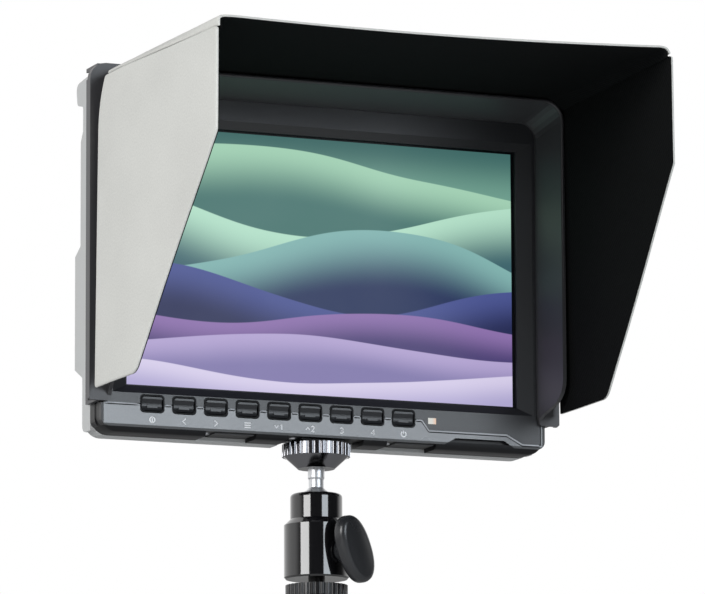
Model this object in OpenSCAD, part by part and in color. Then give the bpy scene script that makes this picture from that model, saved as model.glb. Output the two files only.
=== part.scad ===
// Camera field monitor with a folding sun hood on a mini ball head.
// Origin: centre of the accessory-shoe foot's underside, on the ball head's axis.
// +X is the viewer's right, +Y points away from the viewer, +Z is up. Millimetres.

/* [Monitor housing] */
// Width of the housing
body_w = 172.4; // [170:0.2:175]
// Height of the front frame
body_h = 128.6; // [127:0.2:130]
// Depth of the front frame
front_d = 11.1; // [11:0.1:12]
// Depth of the rear cover behind the front frame, at its thin edge
cover_d = 8.1; // [8:0.1:9]
// Height of the housing's underside above the foot
underside_z = 61.4; // [61.4:0.1:64]
// Distance from the bezel's face to the stand's axis
face_to_axis = 9.8; // [9.6:0.1:10.2]
// Corner radius of the housing, seen from the front
corner_r = 3; // [2:0.5:4]
// Wall thickness of the mouldings
wall = 2; // [1.8:0.1:2.4]

/* [Screen] */
// Width of the picture area
active_w = 150.8; // [149:0.1:151]
// Height of the picture area
active_h = 94.2; // [93:0.1:94.4]
// Height of the screen's centre above the underside
screen_up = 62.6; // [62:0.1:63]
// Depth of the screen's surface behind the bezel's face
screen_deep = 3.8; // [3.6:0.1:4]

/* [Controls] */
// Number of keys in the row
key_count = 9; // [9:1:9]
// Distance from key to key
key_pitch = 12.12; // [12:0.01:12.2]
// Centre of the first key, from the middle of the housing
key_first_x = -66.85; // [-67.5:0.05:-66]
// Height of the key row above the underside
key_up = 8.6; // [8.4:0.1:8.8]
// Width of one key's pocket
pocket_w = 9.2; // [9:0.1:9.4]
// Height of one key's pocket
pocket_h = 6.6; // [6.4:0.1:6.8]
// Travel of a key
key_travel = 0.6; // [0.4:0.1:0.8]

/* [Sun hood] */
// Half width over the hood frame's flange
flange_x = 91.3; // [90.8:0.1:92]
// Reach of the hood's flaps in front of the bezel's face
hood_reach = 109; // [100:1:115]
// Depth of the hood frame's wings in front of the bezel's face
wing_reach = 16.2; // [15:0.1:17]
// Thickness of a flap, board and fabric together
flap_t = 1.3; // [1.2:0.1:1.6]
// Slant of the side flaps' hinges from upright, in degrees
splay = 1; // [0.5:0.1:1.2]
// Angle by which the side flaps close in towards the front, in degrees
toe_in = 2.3; // [2.1:0.1:2.4]
// Angle by which the top flap drops towards the front, in degrees
droop = 1.3; // [1:0.1:1.6]

/* [Ball head] */
// Radius of the lower barrel
barrel_r = 11.7; // [11.5:0.1:12]
// Radius of the upper collar
collar_r = 9.4; // [9.2:0.1:9.6]
// Radius of the ball
ball_r = 6.6; // [6.4:0.1:6.7]
// Height of the ball's centre above the foot
ball_z = 38; // [37.8:0.1:38.2]
// Radius of the ball's stem
stem_r = 2.7; // [2.5:0.1:2.9]
// Radius of the camera lock wheel
wheel_r = 12.3; // [12:0.1:12.6]
// Number of grip flutes round the lock wheel
wheel_flutes = 34; // [28:1:40]
// Direction of the lock knob, in degrees from straight ahead towards +X
knob_turn = 24; // [20:1:28]
// Height of the lock knob's screw above the foot
knob_z = 20.5; // [20:0.1:21]

/* [Hidden] */

$fn = 48;
// Overlap used where one solid cuts or joins another
eps = 0.01;
// Clearance between separate bodies that move past each other
gap = 0.3;

// Planes of the housing, along Y
face_y = -face_to_axis;
frame_back = face_y + front_d;
cover_back = frame_back + cover_d;
screen_y = face_y + screen_deep;
plate_back = screen_y - 0.1;

// Heights of the housing
top_z = underside_z + body_h;
screen_z = underside_z + screen_up;
key_z = underside_z + key_up;
half_w = body_w / 2;

// Screen window: the straight opening and the sloped surround
window_half_w = active_w / 2 + 0.8;
window_half_h = active_h / 2 + 0.45;
slope_side = 5.6;
slope_end = 2.85;
slope_deep = 2.1;

// Fascia: heights above the underside of the line that parts it from the bezel
part_high = 8.55;
part_mid = 4.9;
part_low = 1.7;
part_gap = 0.35;
fascia_t = 2;
notch_x0 = 46.2;
notch_x1 = 73.9;
notch_h = 2.5;

// Keys
cap_w = 7.6;
cap_h = 4.8;
rim_w = 8;
rim_h = 5.4;
cap_front = face_y + 0.1;
cap_back = plate_back - 0.4;
board_y = -3.2;
board_t = 1.2;

// Hood rails that slide down the housing's sides
rail_in = half_w + gap;
rail_out = rail_in + 1.5;
rib_deep = 1.6;
rib_y0 = face_y + 4.3;
rib_y1 = face_y + 6.3;

// Hood frame
flange_y0 = face_y - 1.8;
flange_y1 = face_y - 0.2;
flange_bottom = underside_z + 8.6;
flange_top = top_z + 1.5;
wing_y = face_y - wing_reach;
wing_in_x = 83;
wing_r = 5.8;
wing_in_z = screen_z + 57.9;
wing_t = 1.4;

// Hood skin: heights and half widths of its inner face at the hinges
band_front_top = wing_y - 3.9;
band_front_side = band_front_top - 1.8;
skin_top_z = screen_z + 64.8;
skin_bottom_z = screen_z - 51.2;
hinge_top_z = screen_z + 61.2;
hinge_x = 87.7;
chamfer_x = 81.2;
lining_t = 0.4;

// Ball head
wheel_top = underside_z - 1.4;
wheel_knurl_h = 4.4;
wheel_cone_h = 4.3;
wheel_bore_r = 3.1;
stud_r = 3;
stud_in = 3.9;
insert_r = 4.6;
washer_t = 0.7;
collar_z0 = ball_z - 5;
collar_z1 = ball_z + 4.2;
barrel_z0 = 11.4;
barrel_z1 = collar_z0 - 2.2;
shoe_plate_w = 18.6;
shoe_plate_l = 18;
shoe_plate_t = 2;
shoe_neck_w = 12.2;
disc_z0 = 4.9;
disc_t = 4.2;
disc_r = 11.2;

// ---------------------------------------------------------------- helpers

function unit(v) = v / norm(v);

// The points that round corner b of an outline, between a and c, with radius r
function corner(a, b, c, r, steps) =
    r == 0 ? [b] :
    let (
        u = unit(a - b),
        w = unit(c - b),
        half = acos(u * w) / 2,
        centre = b + unit(u + w) * r / sin(half),
        start = b + u * r / tan(half) - centre,
        end = b + w * r / tan(half) - centre,
        a0 = atan2(start[1], start[0]),
        sweep = (atan2(end[1], end[0]) - a0 + 540) % 360 - 180
    )
    [for (i = [0:steps]) centre + r * [cos(a0 + sweep * i / steps), sin(a0 + sweep * i / steps)]];

// An outline from corners [x, y, radius]
function outline(pts, steps = 5) =
    let (k = len(pts))
    [for (i = [0:k - 1])
        let (a = pts[(i + k - 1) % k], b = pts[i], c = pts[(i + 1) % k])
        each corner([a[0], a[1]], [b[0], b[1]], [c[0], c[1]], b[2], steps)];

// A rectangle from x0, z0 to x1, z1 with corner radius r
function box_outline(x0, z0, x1, z1, r) =
    outline([[x0, z0, r], [x1, z0, r], [x1, z1, r], [x0, z1, r]]);

// Stands a drawing of the front view up between y0 and y1
module facing(y0, y1)
    translate([0, y1, 0]) rotate([90, 0, 0]) linear_extrude(y1 - y0) children();

// Carries a drawing of the side view across from x0 to x1
module across(x0, x1)
    translate([x0, 0, 0]) rotate([90, 0, 90]) linear_extrude(x1 - x0) children();

// A rounded block between two front-view corners and two depths
module block(x0, z0, x1, z1, y0, y1, r = 0)
    facing(y0, y1) polygon(box_outline(x0, z0, x1, z1, r));

// Both a shape and its mirror image across the middle plane
module both_sides() {
    children();
    mirror([1, 0, 0]) children();
}

// A cylinder lying along Y from y0 to y1
module rod_y(x, z, r, y0, y1)
    translate([x, y0, z]) rotate([-90, 0, 0]) cylinder(r = r, h = y1 - y0);

// Places the children at every key
module at_keys()
    for (i = [0:key_count - 1]) translate([key_first_x + i * key_pitch, 0, key_z]) children();

// ---------------------------------------------------------------- housing front

// Front-view outline of the fascia, shrunk by g along the parting line
function fascia_outline(g) = outline([
    [-half_w, underside_z + part_high - g, 0],
    [37.5 - g, underside_z + part_high - g, 0.8],
    [40.2 - g, underside_z + part_mid - g, 0.8],
    [71 - g, underside_z + part_mid - g, 0.8],
    [77.2 - g, underside_z + part_low - g, 0.8],
    [84.3 + g, underside_z + part_low - g, 0.6],
    [84.3 + g, underside_z + part_high, 0],
    [half_w, underside_z + part_high, 0],
    [half_w, underside_z, corner_r],
    [notch_x1, underside_z, 0.6],
    [notch_x1 - 4, underside_z + notch_h, 0.8],
    [notch_x0 + 4.5, underside_z + notch_h, 0.8],
    [notch_x0, underside_z, 0.6],
    [-half_w, underside_z, corner_r]
]);

// The sloped surround of the screen, cut as the crossing of two wedges
module window_cut() {
    run = slope_deep + 1;
    wide = window_half_w + slope_side * run / slope_deep;
    tall = window_half_h + slope_end * run / slope_deep;
    intersection() {
        across(-half_w, half_w) polygon([
            [face_y - 1, screen_z - tall], [face_y + slope_deep, screen_z - window_half_h],
            [face_y + slope_deep, screen_z + window_half_h], [face_y - 1, screen_z + tall]
        ]);
        translate([0, 0, underside_z]) linear_extrude(body_h) polygon([
            [-wide, face_y - 1], [-window_half_w, face_y + slope_deep],
            [window_half_w, face_y + slope_deep], [wide, face_y - 1]
        ]);
    }
    block(-window_half_w, screen_z - window_half_h, window_half_w, screen_z + window_half_h,
          face_y, screen_y + 1);
}

module key_pockets(w, h, y0, y1)
    at_keys() facing(y0, y1) polygon(box_outline(-w / 2, -h / 2, w / 2, h / 2, 1.4));

module led_hole(grow)
    block(39.8 - grow, key_z - 1.5 - grow, 42.9 + grow, key_z + 0.7 + grow, face_y - 1, plate_back + 1);

// Pads on the underside: one round the stand's thread, and two beside it
mount_w = 17;
mount_y1 = 6.6;
mount_h = 4.8;
pad_h = 0.6;
pad_x = [-35, 35];
pad_w = 15;
pad_y = [face_y + 1.5, frame_back - 0.1];
foot_screw_x = [-44.4, -10.4, 25.6];
foot_screw_y = -4;
boss_r = 3;
screw_x = 78;
screw_z = [underside_z + 8, screen_z + 53.6];

// Block of the front frame that reaches back over the stand's axis
module mount_block(grow)
    translate([-mount_w / 2 - grow, plate_back - 1, underside_z - pad_h])
        cube([mount_w + 2 * grow, mount_y1 - plate_back + 1 + grow, mount_h + pad_h + grow]);

module front_bezel() color("#34373b") difference() {
    union() {
        difference() {
            block(-half_w, underside_z, half_w, top_z, face_y, frame_back, corner_r);
            // hollow behind the face plate
            block(-half_w + wall + 1.6, underside_z + wall, half_w - wall - 1.6, top_z - wall,
                  plate_back, frame_back + 1, 1);
        }
        mount_block(0);
        for (x = pad_x) translate([x - pad_w / 2, pad_y[0], underside_z - pad_h])
            cube([pad_w, pad_y[1] - pad_y[0], pad_h + eps]);
        both_sides() for (z = screw_z) rod_y(screw_x, z, boss_r, plate_back - eps, frame_back);
    }
    both_sides() for (z = screw_z) rod_y(screw_x, z, 1.2, plate_back, frame_back + 1);
    window_cut();
    // seat of the fascia, with the parting groove round it
    facing(face_y - 1, face_y + fascia_t) polygon(fascia_outline(0));
    facing(face_y - 1, face_y + fascia_t) polygon(box_outline(
        notch_x0 - 1, underside_z - 1, notch_x1 + 1, underside_z + notch_h, 0));
    key_pockets(pocket_w, pocket_h, face_y - 1, plate_back + 1);
    led_hole(0);
    // grooves down both sides for the hood's rails
    both_sides() translate([half_w - rib_deep - 0.2, rib_y0 - 0.25, underside_z - 1])
        cube([rib_deep + 1, rib_y1 - rib_y0 + 0.5, body_h + 2]);
    // passage of the thread insert and of the underside's screws
    translate([0, 0, underside_z - 2]) cylinder(r = insert_r, h = 6 + mount_h);
    for (x = foot_screw_x) translate([x, foot_screw_y, underside_z - 1]) cylinder(r = 1.1, h = wall + 2);
}

module control_fascia() color("#4a4e54") difference() {
    facing(face_y, face_y + fascia_t) polygon(fascia_outline(part_gap));
    key_pockets(pocket_w, pocket_h, face_y - 1, plate_back);
}

// Glossy rims that line the key pockets
module key_surrounds() color("#08090a") difference() {
    key_pockets(pocket_w, pocket_h, face_y - 0.12, plate_back);
    key_pockets(rim_w, rim_h, face_y - 1, plate_back + 1);
}

module led_window() color("#f4ead8") difference() {
    led_hole(0);
    translate([0, face_y - 3, 0]) cube([100, 5.8, 400], center = true);
}

// One key: a dished cap with a ridge along its top, a raised bar and a stem behind
module key_cap() {
    ridge = 0.75;
    dish = 0.45;
    bar_z = -1.1;
    intersection() {
        facing(cap_front - 1, cap_back) polygon(box_outline(-cap_w / 2, -cap_h / 2, cap_w / 2, cap_h / 2, 0.9));
        across(-cap_w, cap_w) polygon(concat(
            [[cap_back, -cap_h / 2], [cap_back, cap_h / 2], [cap_front - 0.3, cap_h / 2],
             [cap_front - 0.35, cap_h / 2 - ridge]],
            [for (i = [0:8]) let (t = i / 8, z = cap_h / 2 - ridge - (cap_h - ridge) * t)
                [cap_front + dish * sin(180 * t), z]]
        ));
    }
    across(-2, 2) polygon([
        [cap_front + 1, bar_z + 0.5], [cap_front, bar_z + 0.35],
        [cap_front, bar_z - 0.35], [cap_front + 1, bar_z - 0.5]
    ]);
    // collar that keeps the cap in its pocket, and the stem that meets the switch
    block(-4.3, -2.9, 4.3, 2.9, cap_back + 0.6, cap_back + 1.1);
    rod_y(0, 0, 1.6, cap_back - eps, board_y - 0.1 - key_travel);
}

module key(i) color("#2b2d30") translate([key_first_x + i * key_pitch, 0, key_z]) key_cap();

module key_1() key(0);
module key_2() key(1);
module key_3() key(2);
module key_4() key(3);
module key_5() key(4);
module key_6() key(5);
module key_7() key(6);
module key_8() key(7);
module key_9() key(8);

// ---------------------------------------------------------------- inside

switch_t = 0.5;

module key_board() color("#1c5a34")
    block(key_first_x - 7, key_z - 3.6, key_first_x + 8 * key_pitch + 14, key_z + 3.6,
          board_y + switch_t, board_y + switch_t + board_t, 1);

module tact_switches() color("#b9bcc0") at_keys() {
    block(-1.8, -1.6, 1.8, 1.6, board_y + 0.1, board_y + switch_t, 0.3);
    rod_y(0, 0, 0.9, board_y, board_y + 0.2);
}

lcd_w = active_w + 4.4;
lcd_h = active_h + 5;
glass_t = 1.3;
tray_t = 3.4;

module lcd_glass() color("#1e3d6b")
    block(-lcd_w / 2, screen_z - lcd_h / 2, lcd_w / 2, screen_z + lcd_h / 2, screen_y, screen_y + glass_t, 0.5);

module lcd_frame() color("#9a9da1") difference() {
    block(-lcd_w / 2 - 1, screen_z - lcd_h / 2 - 0.6, lcd_w / 2 + 1, screen_z + lcd_h / 2 + 0.6,
          screen_y, screen_y + glass_t + tray_t, 1);
    block(-lcd_w / 2, screen_z - lcd_h / 2, lcd_w / 2, screen_z + lcd_h / 2,
          screen_y - 1, screen_y + glass_t, 0.5);
}

main_y = 3;
module mainboard() color("#1b4f33") {
    block(-72, screen_z - 36, 69.6, screen_z + 44, main_y, main_y + 1.6, 2);
    // processor under its shield, and smaller chips
    block(-14, screen_z - 6, 12, screen_z + 20, main_y + 1.6 - eps, main_y + 3.4, 0.5);
    for (x = [-34, 30, 48]) block(x - 5, screen_z + 24, x + 5, screen_z + 32,
                                       main_y + 1.6 - eps, main_y + 2.8);
}

speaker_x = -52;
speaker_z = screen_z + 28;
module speaker() color("#33353a") {
    rod_y(speaker_x, speaker_z, 8, main_y + 3.2, main_y + 5.2);
    rod_y(speaker_x, speaker_z, 5, main_y + 2, main_y + 3.2 + eps);
}

// ---------------------------------------------------------------- housing rear

// Side view of the rear cover: thin edge, battery block, plateau and top ridge
cover_low = underside_z - 0.4;
block_y = 18.7;
plateau_y = 11.7;
ridge_y = 16.6;
function cover_profile(inset) = outline([
    [frame_back - (inset > 0 ? 1 : 0), cover_low + inset, 0],
    [cover_back - inset, cover_low + inset, 3 - inset],
    [cover_back - inset, screen_z - 43 - inset, 1],
    [block_y - inset, screen_z - 38.5 + inset, 3 - inset],
    [block_y - inset, screen_z + 1 - inset, 2],
    [plateau_y - inset, screen_z + 5 - inset, 1],
    [plateau_y - inset, screen_z + 43 - inset, 1],
    [cover_back - inset, screen_z + 46.5 - inset, 1],
    [cover_back - inset, screen_z + 55.5 + inset, 1],
    [ridge_y - inset - 1.4, screen_z + 56.8 + inset, 2 - inset],
    [ridge_y - inset, screen_z + 64.6 - inset, 2.6 - inset],
    [frame_back - (inset > 0 ? 1 : 0), top_z - inset, 0]
], 4);

port_y = 5.4;
hdmi_z = screen_z - 22;
dc_z = screen_z + 8;
phones_z = screen_z - 4;
battery_x = 36;
battery_z0 = screen_z - 37;
battery_z1 = screen_z - 0.5;

module vent_row(x0, count, step, z)
    for (i = [0:count - 1])
        translate([x0 + i * step, 0, z]) rotate([-90, 0, 0]) linear_extrude(30)
            polygon(box_outline(-0.9, -5.5, 0.9, 5.5, 0.8));

module speaker_slots()
    for (a = [0:5], ring = [0:1])
        let (r = 2.6 + ring * 2.7, t = a * 60 + ring * 30)
            rod_y(speaker_x + r * cos(t), speaker_z + r * sin(t), 0.75, cover_back, 30);

module rear_cover() color("#c3c5c4") difference() {
    union() {
        difference() {
            across(-half_w, half_w) polygon(cover_profile(0));
            // hollow inside
            across(-half_w + wall, half_w - wall) polygon(cover_profile(wall));
        }
        both_sides() for (z = screw_z) rod_y(screw_x, z, boss_r, frame_back, cover_back - wall + eps);
    }
    mount_block(0.2);
    // bevels down the two rear side edges
    both_sides() translate([half_w, block_y, 0]) rotate([0, 0, 45])
        translate([-1.1, -1.1, 0]) cube([2.2, 2.2, 400]);
    // bay of the battery plate
    block(-battery_x, battery_z0, battery_x, battery_z1, block_y - wall - 1, block_y + 1, 2);
    // ports in the right-hand side
    translate([half_w - wall - 1, port_y - 3.1, hdmi_z - 7.9]) cube([5, 6.2, 15.8]);
    translate([half_w - wall - 1, port_y, dc_z]) rotate([0, 90, 0]) cylinder(r = 4, h = 5);
    translate([half_w - wall - 1, port_y, phones_z]) rotate([0, 90, 0]) cylinder(r = 3, h = 5);
    vent_row(-34, 18, 4, screen_z + 28);
    speaker_slots();
    // seats of the cover's screws
    both_sides() for (z = screw_z) {
        rod_y(screw_x, z, 2.6, cover_back - 1.4, 30);
        rod_y(screw_x, z, 1.2, frame_back - 1, 30);
    }
}

module rear_screws() color("#2a2b2d") both_sides() for (z = screw_z)
    difference() {
        union() {
            rod_y(screw_x, z, 2.4, cover_back - 1.4, cover_back - 0.2);
            rod_y(screw_x, z, 1.15, frame_back - 4, cover_back - 1.4 + eps);
        }
        for (a = [0, 90]) translate([screw_x, cover_back, z]) rotate([0, a, 0]) cube([2.8, 1.2, 0.6], center = true);
    }

// Tapped bush that takes the stand's stud
module thread_insert() color("#b08d3e") difference() {
    translate([0, 0, underside_z - pad_h]) cylinder(r = insert_r, h = mount_h + pad_h);
    translate([0, 0, underside_z - 1]) cylinder(r = stud_r + 0.1, h = stud_in + 1.4);
}

// Slotted screws in the underside, heads just proud of it
module underside_screws() color("#a9acb0") for (x = foot_screw_x)
    translate([x, foot_screw_y, underside_z]) difference() {
        union() {
            translate([0, 0, -0.5]) cylinder(r1 = 1.3, r2 = 1.6, h = 0.5);
            translate([0, 0, -eps]) cylinder(r = 1.1, h = wall);
        }
        translate([0, 0, -0.4]) cube([2.2, 0.4, 0.6], center = true);
    }

// Sled that a slide-on battery hooks into
module battery_plate() color("#17181a") difference() {
    union() {
        block(-battery_x, battery_z0, battery_x, battery_z1, block_y - wall - 1, block_y - 0.8, 2);
        // rails with hooks along both long edges
        for (z = [battery_z0, battery_z1 - 2.4]) for (x = [-27, -5, 17])
            block(x, z, x + 10, z + 2.4, block_y - 0.8 - eps, block_y + 1.2, 0.6);
        // end stop
        block(-battery_x + 1, battery_z0 + 8, -battery_x + 3.4, battery_z1 - 8, block_y - 0.8 - eps, block_y + 1.2, 0.6);
    }
    // window of the contact block and of the latch
    block(-29, screen_z - 27, -23, screen_z - 11, block_y - 2.4, block_y + 3);
    block(22.6, screen_z - 25, 31.4, screen_z - 12, block_y - 6, block_y + 3, 0.6);
}

module battery_contacts() color("#c9a24a") for (z = [-25, -21, -17, -13])
    translate([-28.6, block_y - 2.4, screen_z + z - 0.5]) cube([5.2, 1.4, 1]);

latch_travel = 3;
module battery_latch() color("#3c3f43") {
    block(23, screen_z - 24.7, 31 - latch_travel, screen_z - 12.3, block_y - 3.6, block_y + 0.4, 0.6);
    // lip behind the plate that keeps the latch in its window
    block(22, screen_z - 26, 32 - latch_travel, screen_z - 11, block_y - 4.2, block_y - 3.3, 0.6);
    for (i = [0:3]) translate([23.8 + i * 1.1, block_y + 0.4 - eps, screen_z - 23.4]) cube([0.5, 0.5, 9.8]);
}

// ---------------------------------------------------------------- ports

module hdmi_port() color("#8d9094") translate([half_w - 12.4, port_y, hdmi_z]) difference() {
    union() {
        difference() {
            translate([0, -2.9, -7.7]) cube([11.8, 5.8, 15.4]);
            translate([1.4, -2.5, -7.2]) cube([11, 5, 14.4]);
        }
        translate([1, -0.5, -5.8]) cube([9.2, 1, 11.6]);
    }
}

module dc_jack() color("#101113") translate([half_w - 12.4, port_y, dc_z]) rotate([0, 90, 0]) {
    difference() {
        cylinder(r = 3.9, h = 11.8);
        translate([0, 0, 1.5]) cylinder(r = 2.85, h = 12);
    }
    translate([0, 0, 1]) cylinder(r = 1, h = 9);
}

module headphone_jack() color("#101113") translate([half_w - 15.4, port_y, phones_z]) rotate([0, 90, 0])
    difference() {
        union() {
            cylinder(r = 2.9, h = 14.8);
            translate([-2.9, -2.9, 0]) cube([5.8, 5.8, 12]);
        }
        translate([0, 0, 1.5]) cylinder(r = 1.8, h = 15);
    }

// ---------------------------------------------------------------- hood frame

// A flared U-shaped wall: inner base half width, base height and how far it is thickened
module wing_solid(grow) {
    depth = flange_y0 - wing_y;
    flare_x = 1.0386;
    flare_z = 1.083;
    translate([0, flange_y0 + eps, screen_z]) rotate([90, 0, 0])
        linear_extrude(depth + eps, scale = [flare_x, flare_z])
            polygon(outline([
                [-wing_in_x - grow, -70, 0], [wing_in_x + grow, -70, 0],
                [wing_in_x + grow, wing_in_z - screen_z + grow, wing_r + grow],
                [-wing_in_x - grow, wing_in_z - screen_z + grow, wing_r + grow]
            ]));
}

// Side view of the wing's extent: its lower end runs back in a curve
module wing_side()
    across(-flange_x, flange_x) polygon(outline([
        [wing_y - 1, screen_z + 80, 0], [wing_y - 1, screen_z - 34, 0], [wing_y, screen_z - 34, 0],
        [wing_y, screen_z - 45.5, 10], [face_y - 3.6, screen_z - 50.5, 4],
        [flange_y0 + 1, flange_bottom + 1, 0], [flange_y0 + 1, screen_z + 80, 0]
    ]));

module hood_frame() color("#141517") {
    // flange that lies against the bezel
    facing(flange_y0, flange_y1) polygon(outline([
        [-flange_x, flange_bottom, 0.8], [-wing_in_x - 0.6, flange_bottom, 0.8], [-wing_in_x, flange_bottom + 4, 0],
        [-wing_in_x, wing_in_z, wing_r], [wing_in_x, wing_in_z, wing_r], [wing_in_x, flange_bottom + 4, 0],
        [wing_in_x + 0.6, flange_bottom, 0.8], [flange_x, flange_bottom, 0.8],
        [flange_x, flange_top, 6], [-flange_x, flange_top, 6]
    ]));
    // rim that turns back round the flange's edge
    difference() {
        facing(flange_y1 - eps, face_y + 1.2) polygon(outline([
            [-flange_x, flange_bottom, 0], [flange_x, flange_bottom, 0],
            [flange_x, flange_top, 6], [-flange_x, flange_top, 6]
        ]));
        facing(flange_y1 - 1, face_y + 2) polygon(outline([
            [-flange_x + 1.2, flange_bottom - 1, 0], [flange_x - 1.2, flange_bottom - 1, 0],
            [flange_x - 1.2, flange_top - 1.2, 4.8], [-flange_x + 1.2, flange_top - 1.2, 4.8]
        ]));
    }
    // rails down the sides, each with a rib that runs in the housing's groove
    both_sides() {
        translate([rail_in, flange_y1 - eps, flange_bottom]) cube([1.5, frame_back - flange_y1, flange_top - flange_bottom - 4]);
        translate([rail_in - rib_deep, rib_y0, flange_bottom + 2]) cube([rib_deep + eps, rib_y1 - rib_y0, top_z - flange_bottom - 4]);
    }
    // roof that rests on the housing's top edge
    translate([-rail_out, flange_y1 - eps, top_z + 0.1]) cube([2 * rail_out, frame_back - flange_y1, 1.4]);
    // wings that flare forward
    intersection() {
        difference() {
            wing_solid(wing_t);
            wing_solid(0);
        }
        wing_side();
    }
    // ribs between wing and flange that carry the skin
    both_sides() for (z = [screen_z - 44, screen_z - 20, screen_z + 4, screen_z + 28, screen_z + 50])
        translate([wing_in_x + wing_t - 0.2, flange_y0 - 3, z]) cube([2.1, 3 + eps, 1.2]);
}

// ---------------------------------------------------------------- hood skin

// Half width of the skin's inner face at height z, at the hinge line
function skin_x(z) = hinge_x + (hinge_top_z - z) * tan(splay);

// Front view of the fixed skin, thickened outwards by t
function skin_outline(t) = let (low = skin_x(skin_bottom_z)) [
    [low + t, skin_bottom_z], [hinge_x + t, hinge_top_z + t * 0.3],
    [chamfer_x + t * 0.4, skin_top_z + t], [-chamfer_x - t * 0.4, skin_top_z + t],
    [-hinge_x - t, hinge_top_z + t * 0.3], [-low - t, skin_bottom_z]
];

// The fixed skin round the wings, from the flange to the hinge lines
module hood_band() color("#c9cac6") {
    difference() {
        facing(band_front_top, flange_y0 - 0.1) polygon(skin_outline(flap_t));
        facing(band_front_top - 1, flange_y0 + 1) polygon(skin_outline(0));
        translate([-100, band_front_top - 1, skin_bottom_z - 1]) cube([200, 50, 0.99]);
    }
    // the sides reach a little further forward than the top
    both_sides() difference() {
        facing(band_front_side, band_front_top + eps) polygon([
            [skin_x(skin_bottom_z) + flap_t, skin_bottom_z], [hinge_x + flap_t, hinge_top_z],
            [hinge_x, hinge_top_z], [skin_x(skin_bottom_z), skin_bottom_z]
        ]);
        translate([0, band_front_side - 1, skin_bottom_z - 1]) cube([200, 50, 0.99]);
    }
}

// Outline of a side flap: distance forward of its hinge against height
side_len = hood_reach - (face_y - band_front_side);
function side_flap_outline() = let (low = skin_bottom_z) outline([
    [gap, hinge_top_z, 0], [side_len, hinge_top_z - 2, 2],
    [side_len + 0.4, screen_z + 22.5, 4], [21.8, low, 7], [gap, low, 0]
]);

// Carries a drawing (forward, height) to the right-hand flap's place, t0 to t1 outside its inner face
module right_flap_place(t0, t1)
    translate([hinge_x, band_front_side, hinge_top_z]) rotate([0, -splay, 0]) rotate([0, 0, -toe_in])
        translate([0, 0, -hinge_top_z])
            translate([t0, 0, 0]) rotate([90, 0, -90]) mirror([0, 0, 1]) linear_extrude(t1 - t0) children();

module side_skin() right_flap_place(lining_t, flap_t) polygon(side_flap_outline());
module side_lining() right_flap_place(0, lining_t) polygon(side_flap_outline());

module hood_right_flap() color("#c9cac6") side_skin();
module hood_right_lining() color("#0c0c0d") side_lining();
module hood_left_flap() color("#c9cac6") mirror([1, 0, 0]) side_skin();
module hood_left_lining() color("#0c0c0d") mirror([1, 0, 0]) side_lining();

// Top flap: half width of its edges at the hinge and at the front
top_len = hood_reach - (face_y - band_front_top);
top_x0 = chamfer_x;
top_x1 = 83.2;
module top_place(t0, t1)
    translate([0, band_front_top, skin_top_z]) rotate([droop, 0, 0])
        translate([0, 0, t0]) linear_extrude(t1 - t0) children();
module top_outline()
    polygon(outline([[-top_x0, -gap, 0], [-top_x1, -top_len, 2], [top_x1, -top_len, 2], [top_x0, -gap, 0]]));

// Half width of the top flap's edge at a distance s from its hinge
function top_x(s) = top_x0 + (top_x1 - top_x0) * s / top_len;

// Gusset: the strip that slopes from the top flap's edge down to the side flap's top edge.
// It starts past the fixed skin's corner, and folds down in front of the wings.
gusset_s0 = gap;
gusset_s1 = 4.2;
gusset_s2 = top_len - 0.4;
gusset_rise = 2 / side_len;
function gusset_x(s) = hinge_x - gap - max(0, s - (band_front_top - band_front_side)) * tan(toe_in);
function gusset_low(s) = hinge_top_z + gap - skin_top_z + s * (tan(droop) - gusset_rise);
module gusset() {
    low = [for (s = [gusset_s1, gusset_s2]) [gusset_x(s), -s, gusset_low(s)]];
    outer = [[top_x(gusset_s0), -gusset_s0, flap_t], low[0], low[1], [top_x(gusset_s2), -gusset_s2, flap_t]];
    inner = [for (p = outer) [p[0] - 1, p[1], p[2] < 0 ? p[2] : 0.1]];
    translate([0, band_front_top, skin_top_z]) rotate([droop, 0, 0]) polyhedron(
        points = concat(outer, inner),
        faces = [[0, 1, 2], [0, 2, 3], [6, 5, 4], [7, 6, 4], [1, 0, 4], [5, 1, 4],
                 [2, 1, 5], [6, 2, 5], [3, 2, 6], [7, 3, 6], [0, 3, 7], [4, 0, 7]]
    );
}

module hood_top_flap() color("#c9cac6") {
    top_place(lining_t, flap_t) top_outline();
    both_sides() gusset();
}
module hood_top_lining() color("#0c0c0d") difference() {
    top_place(0, lining_t) top_outline();
    both_sides() gusset();
}

// ---------------------------------------------------------------- ball head

// A grip ring: a disc with flutes cut round its rim
module fluted_disc(r, h, flutes) difference() {
    cylinder(r = r, h = h);
    for (i = [0:flutes - 1]) rotate(i * 360 / flutes) translate([r + 0.25, 0, -1]) cylinder(r = 0.75, h = h + 2, $fn = 14);
}

// Foot for an accessory shoe, with the stud that the barrel screws on
module shoe_foot() color("#1a1b1d") {
    translate([0, 0, shoe_plate_t / 2]) cube([shoe_plate_w, shoe_plate_l, shoe_plate_t], center = true);
    intersection() {
        translate([0, 0, 2.9]) cube([shoe_neck_w, shoe_plate_l, 2.2], center = true);
        cylinder(r = 8, h = 10);
    }
    cylinder(r = stud_r, h = barrel_z0 + 6);
}

module shoe_washer() color("#0b0b0c") translate([0, 0, disc_z0 - washer_t]) difference() {
    cylinder(r = 9.2, h = washer_t);
    translate([0, 0, -1]) cylinder(r = stud_r + 0.1, h = 3);
}

module shoe_disc() color("#1f2022") difference() {
    translate([0, 0, disc_z0 + 0.1]) fluted_disc(disc_r, disc_t, wheel_flutes);
    translate([0, 0, 0]) cylinder(r = stud_r + 0.1, h = 20);
}

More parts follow.
